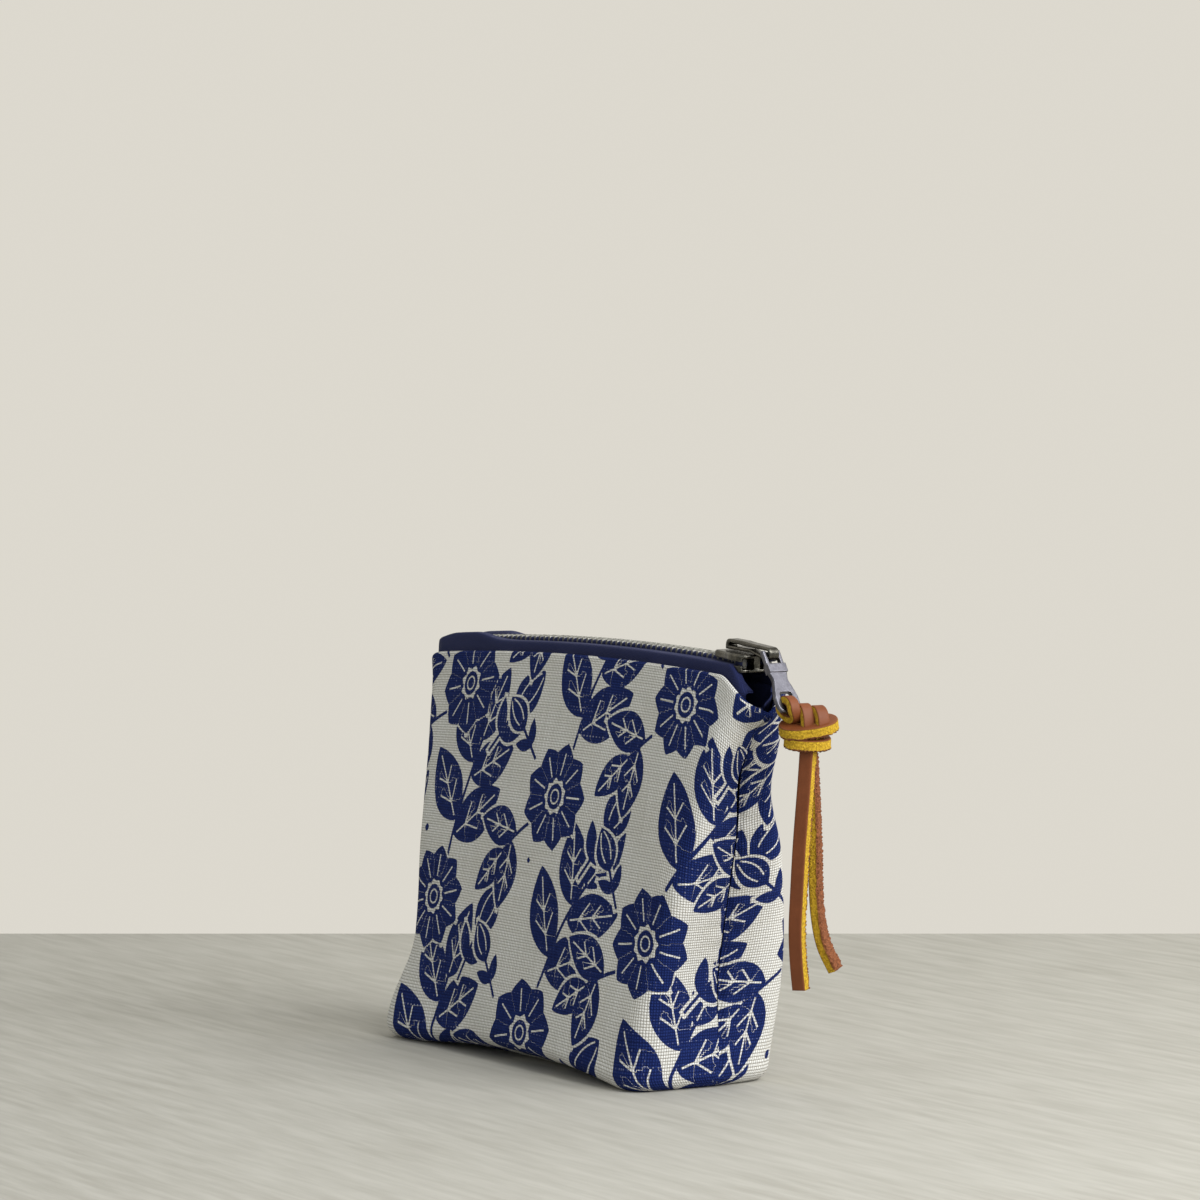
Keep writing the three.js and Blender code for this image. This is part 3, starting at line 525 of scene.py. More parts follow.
top_ends = zip_x + top_half_length * np.array([-1, 1])
print("ridge at its two ends, mm:", ridge(top_ends).round(1))

# %% Section of one half
side_steps, corner_steps, face_steps = 34, 28, 218


def section(t, side):
    """Points (x, y) of the sections at the heights t, one row each. The sides are straight lines, the
    corners are quadratic curves, and the faces are cubic ones."""
    t = t[:, None]
    fullness = belly * np.sin(np.pi * np.clip(t, 0, 1)) ** 0.8
    bottom_depth = base_front + zip_y if side < 0 else base_back - zip_y
    depth = mix(bottom_depth, mouth_half_depth, t)
    left, right = mix(-base_left, zip_x - top_corner, t), mix(base_right, zip_x + top_corner, t)
    turn = mix(corner_round, top_corner_round, t)
    out = seam_out(t)
    point = lambda x, y: np.stack(np.broadcast_arrays(x, y), -1)
    seam_y = zip_y + side * half_seam
    face_y = zip_y + side * depth
    left_seam, right_seam = point(left - out, seam_y + 0 * t), point(right + out, seam_y + 0 * t)
    left_corner, right_corner = point(left, face_y), point(right, face_y)
    middle = point((left + right) / 2, face_y + side * fullness)

    def towards(start, end, distance):
        step = end - start
        size = np.linalg.norm(step, axis=-1, keepdims=True)
        return start + step * np.minimum(0.5, distance[..., None] / size)

    side_turn = np.minimum(turn, depth * 0.75)
    left_side = towards(left_corner, left_seam, side_turn)
    left_face = towards(left_corner, middle, turn)
    right_side = towards(right_corner, right_seam, side_turn)
    right_face = towards(right_corner, middle, turn)
    face_pull = face_y + side * fullness * 1.1
    q = np.linspace(0, 1, side_steps, endpoint=False)[None, :, None]
    c = np.linspace(0, 1, corner_steps, endpoint=False)[None, :, None]
    f = even_cubic(face_steps)[None, :, None]
    bend = lambda a, b, d, s: (1 - s) ** 2 * a + 2 * s * (1 - s) * b + s ** 2 * d
    face = ((1 - f) ** 3 * left_face + 3 * f * (1 - f) ** 2 * point(left / 2, face_pull)
            + 3 * f ** 2 * (1 - f) * point(right / 2, face_pull) + f ** 3 * right_face)
    tail = np.linspace(0, 1, side_steps + 1)[None, :, None]
    return np.concatenate([
        mix(left_seam, left_side, q), bend(left_side, left_corner, left_face, c), face,
        bend(right_face, right_corner, right_side, c), mix(right_side, right_seam, tail)], 1)


def even_cubic(count):
    """Places on the face's cubic curve that give even steps along X. Its inner controls stand at a quarter
    and at three quarters of its length."""
    s = np.linspace(0, 1, 400)
    x = -3 * (1 - s) ** 3 - 1.5 * 3 * s * (1 - s) ** 2 + 1.5 * 3 * s ** 2 * (1 - s) + 3 * s ** 3
    return np.interp(np.linspace(-3, 3, count, endpoint=False), x, s)

# %% [markdown]
# ## One half as a grid
# Going down: the edge, the wall, a quarter turn under the wall, and the base in to its seam. The middle of
# the long bottom edge lifts a little off the table, the far bottom corner flares out, and near the slider's
# end the back panel is full low down and drawn in above, as they are in the photograph.

# %% Half surface
wall_steps, turn_steps, base_steps = 212, 14, 16


def seam_share():
    """Place of every column along the base's seam, -1 to 1: the corners take 0.38 at either end."""
    ends = side_steps + corner_steps
    total = 2 * ends + face_steps
    j = np.arange(total + 1)
    left = mix(-1, -0.62, j / ends)
    right = mix(1, 0.62, (total - j) / ends)
    face = mix(-0.62, 0.62, (j - ends) / face_steps)
    return np.where(j < ends, left, np.where(j > total - ends, right, face))


def half_surface(side, first_t=1.0):
    """Grid of one half's outer face in mm, from the top edge to the base's seam: sections stacked by height,
    a quarter circle under the wall, and straight lines in to the seam. Then come the lift, the flare and the
    swell, each a product of smooth steps or bells."""
    low_t = base_round / chain_height
    top_x = section(np.array([1.0]), side)[0, :, 0]
    t = np.linspace(first_t, low_t, wall_steps + 1)
    flat = section(t, side)
    height = t[:, None] * mix(chain_height, edge_height(top_x, side)[None, :], t[:, None])
    wall = np.concatenate([flat, height[..., None]], -1)
    foot = flat[-1]
    step = unit(np.gradient(foot, axis=0))
    inwards = np.stack([step[:, 1], -step[:, 0]], -1) * side
    inwards[0], inwards[-1] = (1, 0), (-1, 0)
    angle = (np.pi / 2 * np.arange(1, turn_steps + 1) / turn_steps)[:, None, None]
    under = np.concatenate([
        foot[None] + inwards[None] * base_round * (1 - np.cos(angle)),
        np.broadcast_to(base_round * (1 - np.sin(angle)), (turn_steps, len(foot), 1))], -1)
    rim = under[-1]
    share = seam_share()
    seam = np.stack([share * 0.72 * np.where(share < 0, base_left, base_right),
                     np.full(len(share), zip_y + side * half_seam), rim[:, 2]], -1)
    way = (np.arange(1, base_steps + 1) / base_steps)[:, None, None]
    bottom = mix(rim[None], seam[None], way)
    grid = np.concatenate([wall, under, bottom])
    along = np.maximum(0, 1 - (grid[..., 0] / (base_right - corner_round)) ** 2)
    across = smooth(flat_strip, base_front - base_round / 2, np.abs(grid[..., 1]))
    grid[..., 2] += base_lift * along * across * np.maximum(0, 1 - grid[..., 2] / lift_top) ** 2
    pushed = smooth(-34, -58, grid[..., 0]) * (1 - smooth(4, flare_top, grid[..., 2]))
    grid[..., 0] -= flare * pushed
    grid[..., 1] += side * 0.35 * flare * pushed * smooth(2, 14, np.abs(grid[..., 1] - zip_y))
    if side > 0:
        height = grid[..., 2]
        swell = back_swell * np.exp(-((height - swell_height) / 27) ** 2)
        pinch = back_pinch * np.exp(-((height - pinch_height) / 11) ** 2)
        grid[..., 1] += (swell - pinch) * smooth(26, 60, grid[..., 0]) * smooth(3, 14, grid[..., 1] - zip_y)
    return grid


def outward(grid, side):
    """Unit normals of a half's grid, pointing out of the pouch."""
    down = np.gradient(grid, axis=0)
    across = np.gradient(grid, axis=1)
    return unit(np.cross(down, across)) * (-side)


print("columns:", 2 * (side_steps + corner_steps) + face_steps + 1)

# %% [markdown]
# ## What sewing does to the cloth
# A smooth form looks like moulded plastic. On the real pouch the two halves turn inwards along the side
# seams, with small puckers beside them, a sewn line crosses each end just above the table, and the stiff
# linen has faint slow waves. Each is a small move along the surface's normal.

# %% Cloth moves
groove_deep, boxed_deep, boxed_height = 0.85, 0.5, 2.6
pucker_high, pucker_pitch = 0.20, 5.3
crease_high, crease_pitch, waves, wave_high = 0.25, 31, 7, 0.34


def slow_waves(u, v, seed):
    """Sum of seven sine waves, 26 to 70 mm long, in seeded directions."""
    rng = np.random.default_rng(seed)
    total = np.zeros_like(u)
    for _ in range(waves):
        heading, length, phase = rng.uniform(0, np.pi), rng.uniform(26, 70), rng.uniform(0, 2 * np.pi)
        total += np.sin(2 * np.pi * (u * np.cos(heading) + v * np.sin(heading)) / length + phase)
    return wave_high * total / waves ** 0.5


def sewn(grid, u, v, side, seed):
    """The half's grid moved along its normals: in along the seams by a narrow bell, in and out beside them
    by a sine that dies away (the puckers), in along the boxed corner's sewn line, in and out by a slanting
    sine (the creases), and by the slow waves away from all edges."""
    normal = outward(grid, side)
    to_seam = np.minimum(arc(grid, 1), arc(grid[:, ::-1], 1)[:, ::-1])
    height = grid[..., 2]
    rows = wall_steps + 1
    on_wall = np.zeros(grid.shape[:2])
    on_wall[:rows] = 1
    under_mask = smooth(2, 8, height)
    groove = groove_deep * np.exp(-(to_seam / 1.3) ** 2) * smooth(0.6, 5, height)
    rng = np.random.default_rng(seed + 10)
    phase = rng.uniform(0, 2 * np.pi)
    puckers = pucker_high * np.sin(2 * np.pi * height / pucker_pitch + phase + 1.3 * np.sin(height / 9)) \
        * np.exp(-(to_seam / 4.0) ** 2) * (1 - np.exp(-(to_seam / 0.8) ** 2)) * under_mask
    end_side = smooth(0.0, 5.0, np.abs(grid[..., 0]) - (base_right - 7))
    boxed = boxed_deep * np.exp(-((height - boxed_height) / 0.7) ** 2) * end_side * on_wall
    still = smooth(0, 14, to_seam) * smooth(3, 16, height) * smooth(0, 12, v)
    creases = crease_high * np.exp(-((to_seam - 9 - 0.05 * height) / 3.5) ** 2) \
        * np.sin(2 * np.pi * (height + 0.6 * to_seam) / crease_pitch + phase) \
        * smooth(20, 50, height) * smooth(0, 16, v)
    move = slow_waves(u, v, seed) * still - groove + puckers - boxed + creases
    print("deepest move in, furthest move out, mm:", move.min().round(2), move.max().round(2))
    return grid + normal * move[..., None]

# %% [markdown]
# ## The print
# The linen is screen printed in navy with a plain botanical: round flowers, sprigs and buds, in columns of
# which every second one is set off by half a step. Each motif is a signed distance in millimetres: how far a
# point lies inside its outline. The largest one wins, and the finish draws ink wherever it is above zero.
# For the pale lines in a motif two more numbers are kept: the place across the nearest line, and how far
# inside that line's length a point lies. All three stay smooth between the mesh's points, so outlines and
# lines are sharp.

# %% Print motifs
vein_turn, leaf_turn, bud_leaf_turn = 0.72, 0.80, 0.75      # radians


def turned_by(angle, x, y):
    """The same points told from axes that are turned by the angle."""
    return x * math.cos(angle) + y * math.sin(angle), -x * math.sin(angle) + y * math.cos(angle)


def petal(x, y, length, half):
    """Distance inside a petal or leaf along +X, pointed at its ends: its half-width at a share of its length
    is half * sin(pi * share^0.85)^0.8."""
    share = np.clip(x / length, 0, 1)
    width = half * np.sin(np.pi * share ** 0.85) ** 0.8
    return np.minimum(width - np.abs(y), np.minimum(x, length - x) + 0.4)


def best(parts):
    """Of several (ink, side, run), at every point the one that has most ink there."""
    ink, side, run = parts[0]
    for next_ink, next_side, next_run in parts[1:]:
        more = next_ink > ink
        ink, side, run = (np.where(more, next_ink, ink), np.where(more, next_side, side),
                          np.where(more, next_run, run))
    return ink, side, run


def leaf(x, y, length, half):
    """Leaf along +X with a pale midrib and two pairs of pale side veins that lean to its tip."""
    side, run = y, np.minimum(x - length * 0.06, length * 0.88 - x)
    for k in range(2):
        at = length * (0.24 + 0.26 * k)
        along, across = turned_by(vein_turn, x - at, np.abs(y))
        reach = np.minimum(along, half * (0.92 - 0.20 * k) - along)
        closer = (np.abs(across) < np.abs(side)) & (reach > -0.3)
        side, run = np.where(closer, across, side), np.where(closer, reach, run)
    return petal(x, y, length, half), side, run


def flower(x, y, petals, reach):
    """Round flower: petals on a ring, each with a pale rib, and a heart with a pale ring in it."""
    r = np.hypot(x, y)
    sector = 2 * np.pi / petals
    local = (np.arctan2(y, x) + sector / 2) % sector - sector / 2
    px, py = r * np.cos(local), r * np.sin(local)
    body = petal(px - reach * 0.30, py, reach * 0.70, reach * 1.05 * math.sin(sector / 2))
    heart = reach * 0.24 - r
    return best([(body, py, np.minimum(px - reach * 0.40, reach * 0.82 - px)),
                 (heart, r - reach * 0.13, heart)])


def branch(x, y, pairs, spacing, size, bend):
    """Arched stem along +X with paired leaves that grow shorter towards its tip, and one leaf at the tip."""
    length = pairs * spacing
    far = np.full(x.shape, -1.0)
    stem = np.minimum(0.55 - np.abs(y - bend * x * x / length), np.minimum(x + 5, length + 1 - x))
    parts = [(stem, far, far)]
    for k in range(pairs):
        at = (k + 0.45) * spacing
        long = size * (1 - 0.22 * k / pairs)
        slope = math.atan(2 * bend * at / length)
        for way in (-1, 1):
            foot_x, foot_y = at + way * 0.12 * spacing, bend * at * at / length
            along, across = turned_by(slope + way * leaf_turn, x - foot_x, y - foot_y)
            parts.append(leaf(along - 0.8, across, long, long * 0.29))
    along, across = turned_by(math.atan(2 * bend), x - length, y - bend * length)
    parts.append(leaf(along, across, size * 0.9, size * 0.24))
    return best(parts)


def bud(x, y, size):
    """Closed bud on a short stem along +X, with two pale lines that bow apart, and two small leaves."""
    bow = 0.15 * size * np.sin(np.pi * np.clip(x / size, 0, 1))
    parts = [(petal(x, y, size, size * 0.34), np.abs(y) - bow, np.minimum(x - size * 0.22, size * 0.9 - x))]
    far = np.full(x.shape, -1.0)
    parts.append((np.minimum(0.5 - np.abs(y), np.minimum(x + size * 0.9, 1 - x)), far, far))
    for way in (-1, 1):
        along, across = turned_by(bud_leaf_turn, x + size * 0.5, way * y)
        parts.append((petal(along, across, size * 0.62, size * 0.14), far, far))
    return best(parts)

# %% Print layout
def print_on(u, v, seed):
    """Three numbers over the cloth's own u and v in mm: the distance inside the ink, the place across the
    nearest pale line, and how far inside that line's length. A later motif clears a rim round itself, and
    dots fill what stays bare."""
    rng = np.random.default_rng(seed)
    limit, clearance = 4.0, 0.9
    ink, side, run = np.full(u.shape, -limit), np.full(u.shape, limit), np.full(u.shape, -limit)

    def draw(motif, at_u, at_v, turn, reach, *sizes):
        near = (np.abs(u - at_u) < reach) & (np.abs(v - at_v) < reach)
        if near.any():
            body, across, along = motif(*turned_by(turn, u[near] - at_u, v[near] - at_v), *sizes)
            cleared = np.where(body > -limit, np.minimum(ink[near], -body - clearance), ink[near])
            wins = body > cleared
            ink[near] = np.maximum(cleared, body)
            side[near], run[near] = np.where(wins, across, side[near]), np.where(wins, along, run[near])

    pitch_u, pitch_v = 53.0, 64.0
    for column in range(-4, 5):
        for row in range(-2, 5):
            at_u = column * pitch_u + rng.uniform(-1.5, 1.5) + 3
            at_v = (row + 0.5 * (column % 2)) * pitch_v + rng.uniform(-1.5, 1.5) + 14
            lean = rng.uniform(-0.2, 0.2)
            draw(branch, at_u + 4.5, at_v + 12, 1.30 + lean, 70, 2, 17.0, 25.0, -0.14)
            draw(branch, at_u - 12, at_v - 9, 3.6 + lean, 56, 1, 12.0, 19.0, 0.12)
            draw(bud, at_u + 26.0, at_v - 8.0, 0.9 + lean, 34, 17.0)
            draw(bud, at_u - 21.0, at_v + 17, 2.3 + lean, 34, 12.5)
            draw(flower, at_u, at_v, rng.uniform(0, 6), 22, 8 + (row + column) % 3, 14.6)
    dots = 420
    for _ in range(dots):
        at_u, at_v, size = rng.uniform(-130, 130), rng.uniform(-10, 125), rng.uniform(0.6, 1.15)
        near = (np.abs(u - at_u) < limit) & (np.abs(v - at_v) < limit)
        if near.any() and ink[near].max() < -0.4:
            ink[near] = np.maximum(ink[near], size - np.hypot(u[near] - at_u, v[near] - at_v))
            run[near] = -limit
    return [np.clip(values, -limit, limit) for values in (ink, side, run)]

# %% [markdown]
# ## The linen's finish
# Linen is a plain weave of uneven threads: pillows where a thread comes up, slow thick and thin places along
# each thread, and a few darker flecks. Ink lies on top of the threads and leaves pale specks. The weave
# follows the UV map, which is in millimetres along the cloth.

# %% Linen finish
thread = 0.74
print_numbers = ("ink_mm", "line_mm", "run_mm")     # the three numbers of the print, as a mesh keeps them


def weave(tree, uv, pitch):
    """Height of a plain weave, and how much the upright threads are on top: the product of two sines."""
    u, v, _ = split(tree, uv)
    a = calc(tree, "SINE", calc(tree, "MULTIPLY", u, math.pi / pitch))
    b = calc(tree, "SINE", calc(tree, "MULTIPLY", v, math.pi / pitch))
    product = calc(tree, "MULTIPLY", a, b)
    height = calc(tree, "POWER", calc(tree, "ABSOLUTE", product), 0.55)
    return height, ramp(tree, product, -0.2, 0.2)


def thread_tone(tree, uv, pitch, upright):
    """A number of its own for each thread, drifting slowly along it."""
    warp = speckle(tree, spread_out(tree, uv, (1 / pitch, 0.045, 0)), 1.0, 1)
    weft = speckle(tree, spread_out(tree, uv, (0.045, 1 / pitch, 0)), 1.0, 1)
    return calc(tree, "ADD", calc(tree, "MULTIPLY", warp, upright),
                calc(tree, "MULTIPLY", weft, calc(tree, "SUBTRACT", 1.0, upright)))


def linen_finish():
    """Natural linen, paler where a thread comes up and darkened by painted shade in the gaps, under ink that
    thins out on the highest threads and is lightened there by a painted highlight."""
    finish, tree, shader = new_finish("printed_linen", 0.88)
    shader.inputs["Specular IOR Level"].default_value = 0.08
    uv = place_of(tree, "UV")
    height, upright = weave(tree, uv, thread)
    tone = thread_tone(tree, uv, thread, upright)
    cloud = speckle(tree, uv, 0.06, 2)
    fleck = speckle(tree, spread_out(tree, uv, (1.0, 0.35, 1)), 0.9, 3, 0.7)
    pale = tint(tree, ramp(tree, tone, 0.3, 0.7), (0.68, 0.675, 0.635), (0.875, 0.87, 0.845))
    pale = tint(tree, ramp(tree, cloud, 0.3, 0.7, 0, 0.18), pale, (0.55, 0.50, 0.41))
    pale = tint(tree, ramp(tree, fleck, 0.66, 0.74, 0, 0.45), pale, (0.38, 0.31, 0.22))
    # painted shade: the linen's colour is darkened where the weave is low, in the gaps between threads
    pale = tint(tree, ramp(tree, height, 0.05, 0.7, 0.95, 0.0), pale, (0.23, 0.20, 0.15))
    ink_tone = ramp(tree, tone, 0.3, 0.7)
    ink = tint(tree, ink_tone, (0.0040, 0.0072, 0.046), (0.0115, 0.0230, 0.120))
    # painted highlight: the ink is lightened to a brighter blue on the highest threads
    ink = tint(tree, ramp(tree, height, 0.45, 0.95, 0.0, 0.55), ink, (0.020, 0.042, 0.185))
    mask, line, run = (stored(tree, name) for name in print_numbers)
    edge = calc(tree, "MULTIPLY_ADD", speckle(tree, uv, 2.6, 2), 0.5, -0.25)
    inked = ramp(tree, calc(tree, "ADD", mask, edge), -0.07, 0.07)
    across = calc(tree, "ADD", calc(tree, "ABSOLUTE", line), calc(tree, "MULTIPLY", edge, 0.4))
    cut = calc(tree, "MULTIPLY", ramp(tree, across, 0.30, 0.20), ramp(tree, run, -0.1, 0.1))
    inked = calc(tree, "MULTIPLY", inked, calc(tree, "SUBTRACT", 1.0, cut))
    bare = calc(tree, "MULTIPLY", ramp(tree, tone, 0.64, 0.76), ramp(tree, height, 0.5, 0.9, 0.0, 0.35))
    inked = calc(tree, "MULTIPLY", inked, calc(tree, "SUBTRACT", 1.0, bare))
    tree.links.new(tint(tree, inked, pale, ink), shader.inputs["Base Color"])
    thick = calc(tree, "MULTIPLY_ADD", tone, 0.9, 0.1)
    relief(tree, shader, calc(tree, "MULTIPLY", height, thick), 0.34)
    return finish


linen = counted(linen_finish())

# %% [markdown]
# ## The two panels
# A panel is the outer face, a round folded edge along the top, and a short stretch of the cloth's inner
# face, which the tape and the lining hide further down. The print is worked out on the same dense grid.

# %% Outer panels
edge_radius = cloth / 2
fold_depth, fold_rows = 9.0, 12
cloth_high = 118.0               # the cloth's own height is counted upwards, from this far below the edge


def panel(name, side, seed):
    """Dressed half in one grid. First the inner stretch going up, a cloth's thickness inside the outer face,
    then the rolled edge as a half circle, then the outer face going down."""
    grid = half_surface(side)
    u = arc(grid, 1)
    u = u - u[:, [side_steps + corner_steps + face_steps // 2]]
    v = np.broadcast_to(arc(grid, 0)[:, [grid.shape[1] // 2]], u.shape)
    grid = sewn(grid, u, v, side, seed)
    normal = outward(grid, side)
    up = unit(grid[0] - grid[1])
    grid = grid - up[None] * (edge_radius * np.exp(-(v / 3.0)))[..., None]
    angles = np.linspace(0, np.pi, 9)[1:, None, None]
    roll = grid[0] - normal[0] * edge_radius * (1 - np.cos(angles)) + up * edge_radius * np.sin(angles)
    take = np.linspace(1, np.searchsorted(v[:, 0], fold_depth), fold_rows).astype(int)
    inside = grid[take] - normal[take] * cloth
    whole = np.concatenate([inside[::-1], roll[::-1], grid])
    roll_long = 2                # length of the rolled edge in v
    roll_v = -np.linspace(roll_long, 0, len(roll), endpoint=False)
    every_v = np.concatenate([-(v[take, 0][::-1]) - roll_long, roll_v, v[:, 0]])
    whole_v = np.broadcast_to(every_v[:, None], whole.shape[:2])
    whole_u = np.concatenate([u[take][::-1], np.broadcast_to(u[0], (len(roll), u.shape[1])), u])
    uv = np.stack([whole_u, cloth_high - whole_v], -1)
    if side > 0:
        whole, uv = whole[:, ::-1], uv[:, ::-1]
    mesh = grid_mesh(name, [(whole, uv)], merge=False)
    drawn = print_on(uv[..., 0] * side * -1, uv[..., 1], seed)
    for store, values in zip(print_numbers, drawn):
        layer = mesh.attributes.new(store, "FLOAT", "POINT")
        layer.data.foreach_set("value", values.astype(np.float32).ravel())
    print(name, "inked share:", round(float((drawn[0] > 0).mean()), 2))
    return mesh


halves = (("front", -1), ("back", 1))
for (name, side), seed in zip(halves, (21, 22)):
    mesh = panel(f"printed_{name}", side, seed)
    piece(f"printed_{name}", mesh, linen, "pouch", [f"outer_{name}_panel"])

# %% [markdown]
# ## The lining
# Inside is a plain dark cotton lining. It follows the linen a little way in, leaves it near the zip to pass
# behind the tape, and ends in a folded edge. Only its inner face can be seen, so the piece is that face, the
# fold, and a short stretch of the side that faces the linen.

# %% Plain cloth finish
def cotton_finish():
    """Fine plain weave in navy cotton."""
    finish, tree, shader = new_finish("plain_cotton", 0.9)
    shader.inputs["Specular IOR Level"].default_value = 0.2
    uv = place_of(tree, "UV")
    fine_thread = 0.36
    height, upright = weave(tree, uv, fine_thread)
    tone = thread_tone(tree, uv, fine_thread, upright)
    colour = tint(tree, ramp(tree, tone, 0.3, 0.7), (0.010, 0.013, 0.048), (0.020, 0.027, 0.090))
    tree.links.new(colour, shader.inputs["Base Color"])
    relief(tree, shader, height, 0.08)
    return finish


cotton = counted(cotton_finish())

# %% Lining halves
tape, tape_gap = 0.5, 0.5
lining_first, lining_turn, lining_turned = 0.975, 30.0, 18.0
base_rows, hidden_rows = 6, 5


def lining(name, side):
    """Every third row and column of the half's surface, moved in along its normals: the inner face from the
    base up, a round fold at the top, and a few rows of the hidden face going down."""
    grid = half_surface(side, lining_first)[::3, ::3]
    normal = outward(grid, side)
    normal[-base_rows:] = (0, 0, -1)
    beside_tape = 3 * tape_gap + tape - layer_gap
    turned = smooth(chain_height - lining_turn, chain_height - lining_turned, grid[..., 2])
    depth = (cloth + layer_gap + beside_tape * turned)[..., None]
    near, far = grid - normal * depth, grid - normal * (depth + lining_cloth)
    plane = zip_y + side * 0.15
    for face in (near, far):
        face[..., 1] = np.minimum(face[..., 1], plane) if side < 0 else np.maximum(face[..., 1], plane)
    angles = np.linspace(0, np.pi, 6)[1:-1, None, None]
    up = unit(grid[0] - grid[1])
    centre, across = (near[0] + far[0]) / 2, (far[0] - near[0]) / 2
    roll = centre + across * np.cos(angles) + up * 0.25 * np.sin(angles)
    whole = np.concatenate([far[::-1], roll, near[:hidden_rows]])
    u, v = arc(whole, 1), arc(whole, 0)
    if side < 0:
        whole, u, v = whole[:, ::-1], u[:, ::-1], v[:, ::-1]
    return grid_mesh(name, [(whole[::-1], np.stack([u, v], -1)[::-1])], merge=False)


for name, side in halves:
    mesh = lining(f"inner_{name}", side)
    piece(f"inner_{name}", mesh, cotton, "pouch", [f"lining_{name}_panel"])

# %% [markdown]
# ## The zip's tapes
# A zip tape is woven in a fine herringbone and has a thick corded edge that the teeth are clenched on. Here
# it lies flat beside the teeth, bends down along the linen's folded edge and is tucked between the linen and
# the lining. It humps softly over the far end, and falls away past the slider. For every place along the zip
# the profile is a smooth line through eight points, with a thickness, and the cord is a tube along its edge.

# %% Tape finish
def tape_finish():
    """Navy twill: fine slanting ribs that change direction in bands, darker in their grooves as painted
    shade.
    """
    finish, tree, shader = new_finish("zip_tape", 0.82)
    shader.inputs["Sheen Weight"].default_value = 0.04
    shader.inputs["Specular IOR Level"].default_value = 0.2
    uv = place_of(tree, "UV")
    u, v, _ = split(tree, uv)
    fold = calc(tree, "PINGPONG", v, 1.3)
    ribs = calc(tree, "SINE", calc(tree, "MULTIPLY", calc(tree, "ADD", u, fold), 2 * math.pi / 0.62))
    height = ramp(tree, ribs, -1, 1)
    fuzz = speckle(tree, spread_out(tree, uv, (3.0, 3.0, 0)), 1.0, 2)
    # partly painted shade: the colour follows the ribs' height, darker in the grooves and lighter on the
    # tops, mixed with random tone from the fuzz
    share = calc(tree, "MULTIPLY_ADD", height, 0.6, calc(tree, "MULTIPLY", fuzz, 0.4))
    colour = tint(tree, share, (0.0055, 0.0080, 0.038), (0.0155, 0.0225, 0.095))
    tree.links.new(colour, shader.inputs["Base Color"])
    relief(tree, shader, height, 0.07)
    return finish


navy_tape = counted(tape_finish())

# %% Tape and its cord
slider_length = 14.0
slider_x = top_half_length - slider_length
parting_start = zip_x + slider_x - 3
spread, spread_length = 1.9, 9.0
tooth_back, bead_radius, tooth_pitch = 2.7, 0.8, 2.4
chain_inset, stops_back = 11.0, 3.6
chain_left = chain_inset - top_half_length
chain_right = slider_x + slider_length / 2 - stops_back
stop_length = 1.8
tape_tuck, tape_edge_bend, tape_end_inset = 6.0, 1.0, 1.2
tape_from, tape_to, tape_steps = -72.6, 78.8, 190
cord_from, cord_steps, cord_round = -69.2, 150, 13


def parting(x):
    """How far a row stands from its closed place, where the slider's wedge parts the rows."""
    return spread * smooth(parting_start, parting_start + spread_length, x)


def tape_height(x):
    """Height of the tape's flat stretch: just under the ridge, with a soft hump over the far end and a fall
    by a power of 1.5 past the slider."""
    hump = 1.7 * smooth(-77, -61, x) * (1 - smooth(-53, -38, x))
    past = np.maximum(0, x - zip_x - (chain_right - 0.5)) / 5
    return ridge(x) + hump - 0.6 * (1 - smooth(-77, -70, x)) - 0.5 * smooth(-48, -30, x) - 5 * past ** 1.5


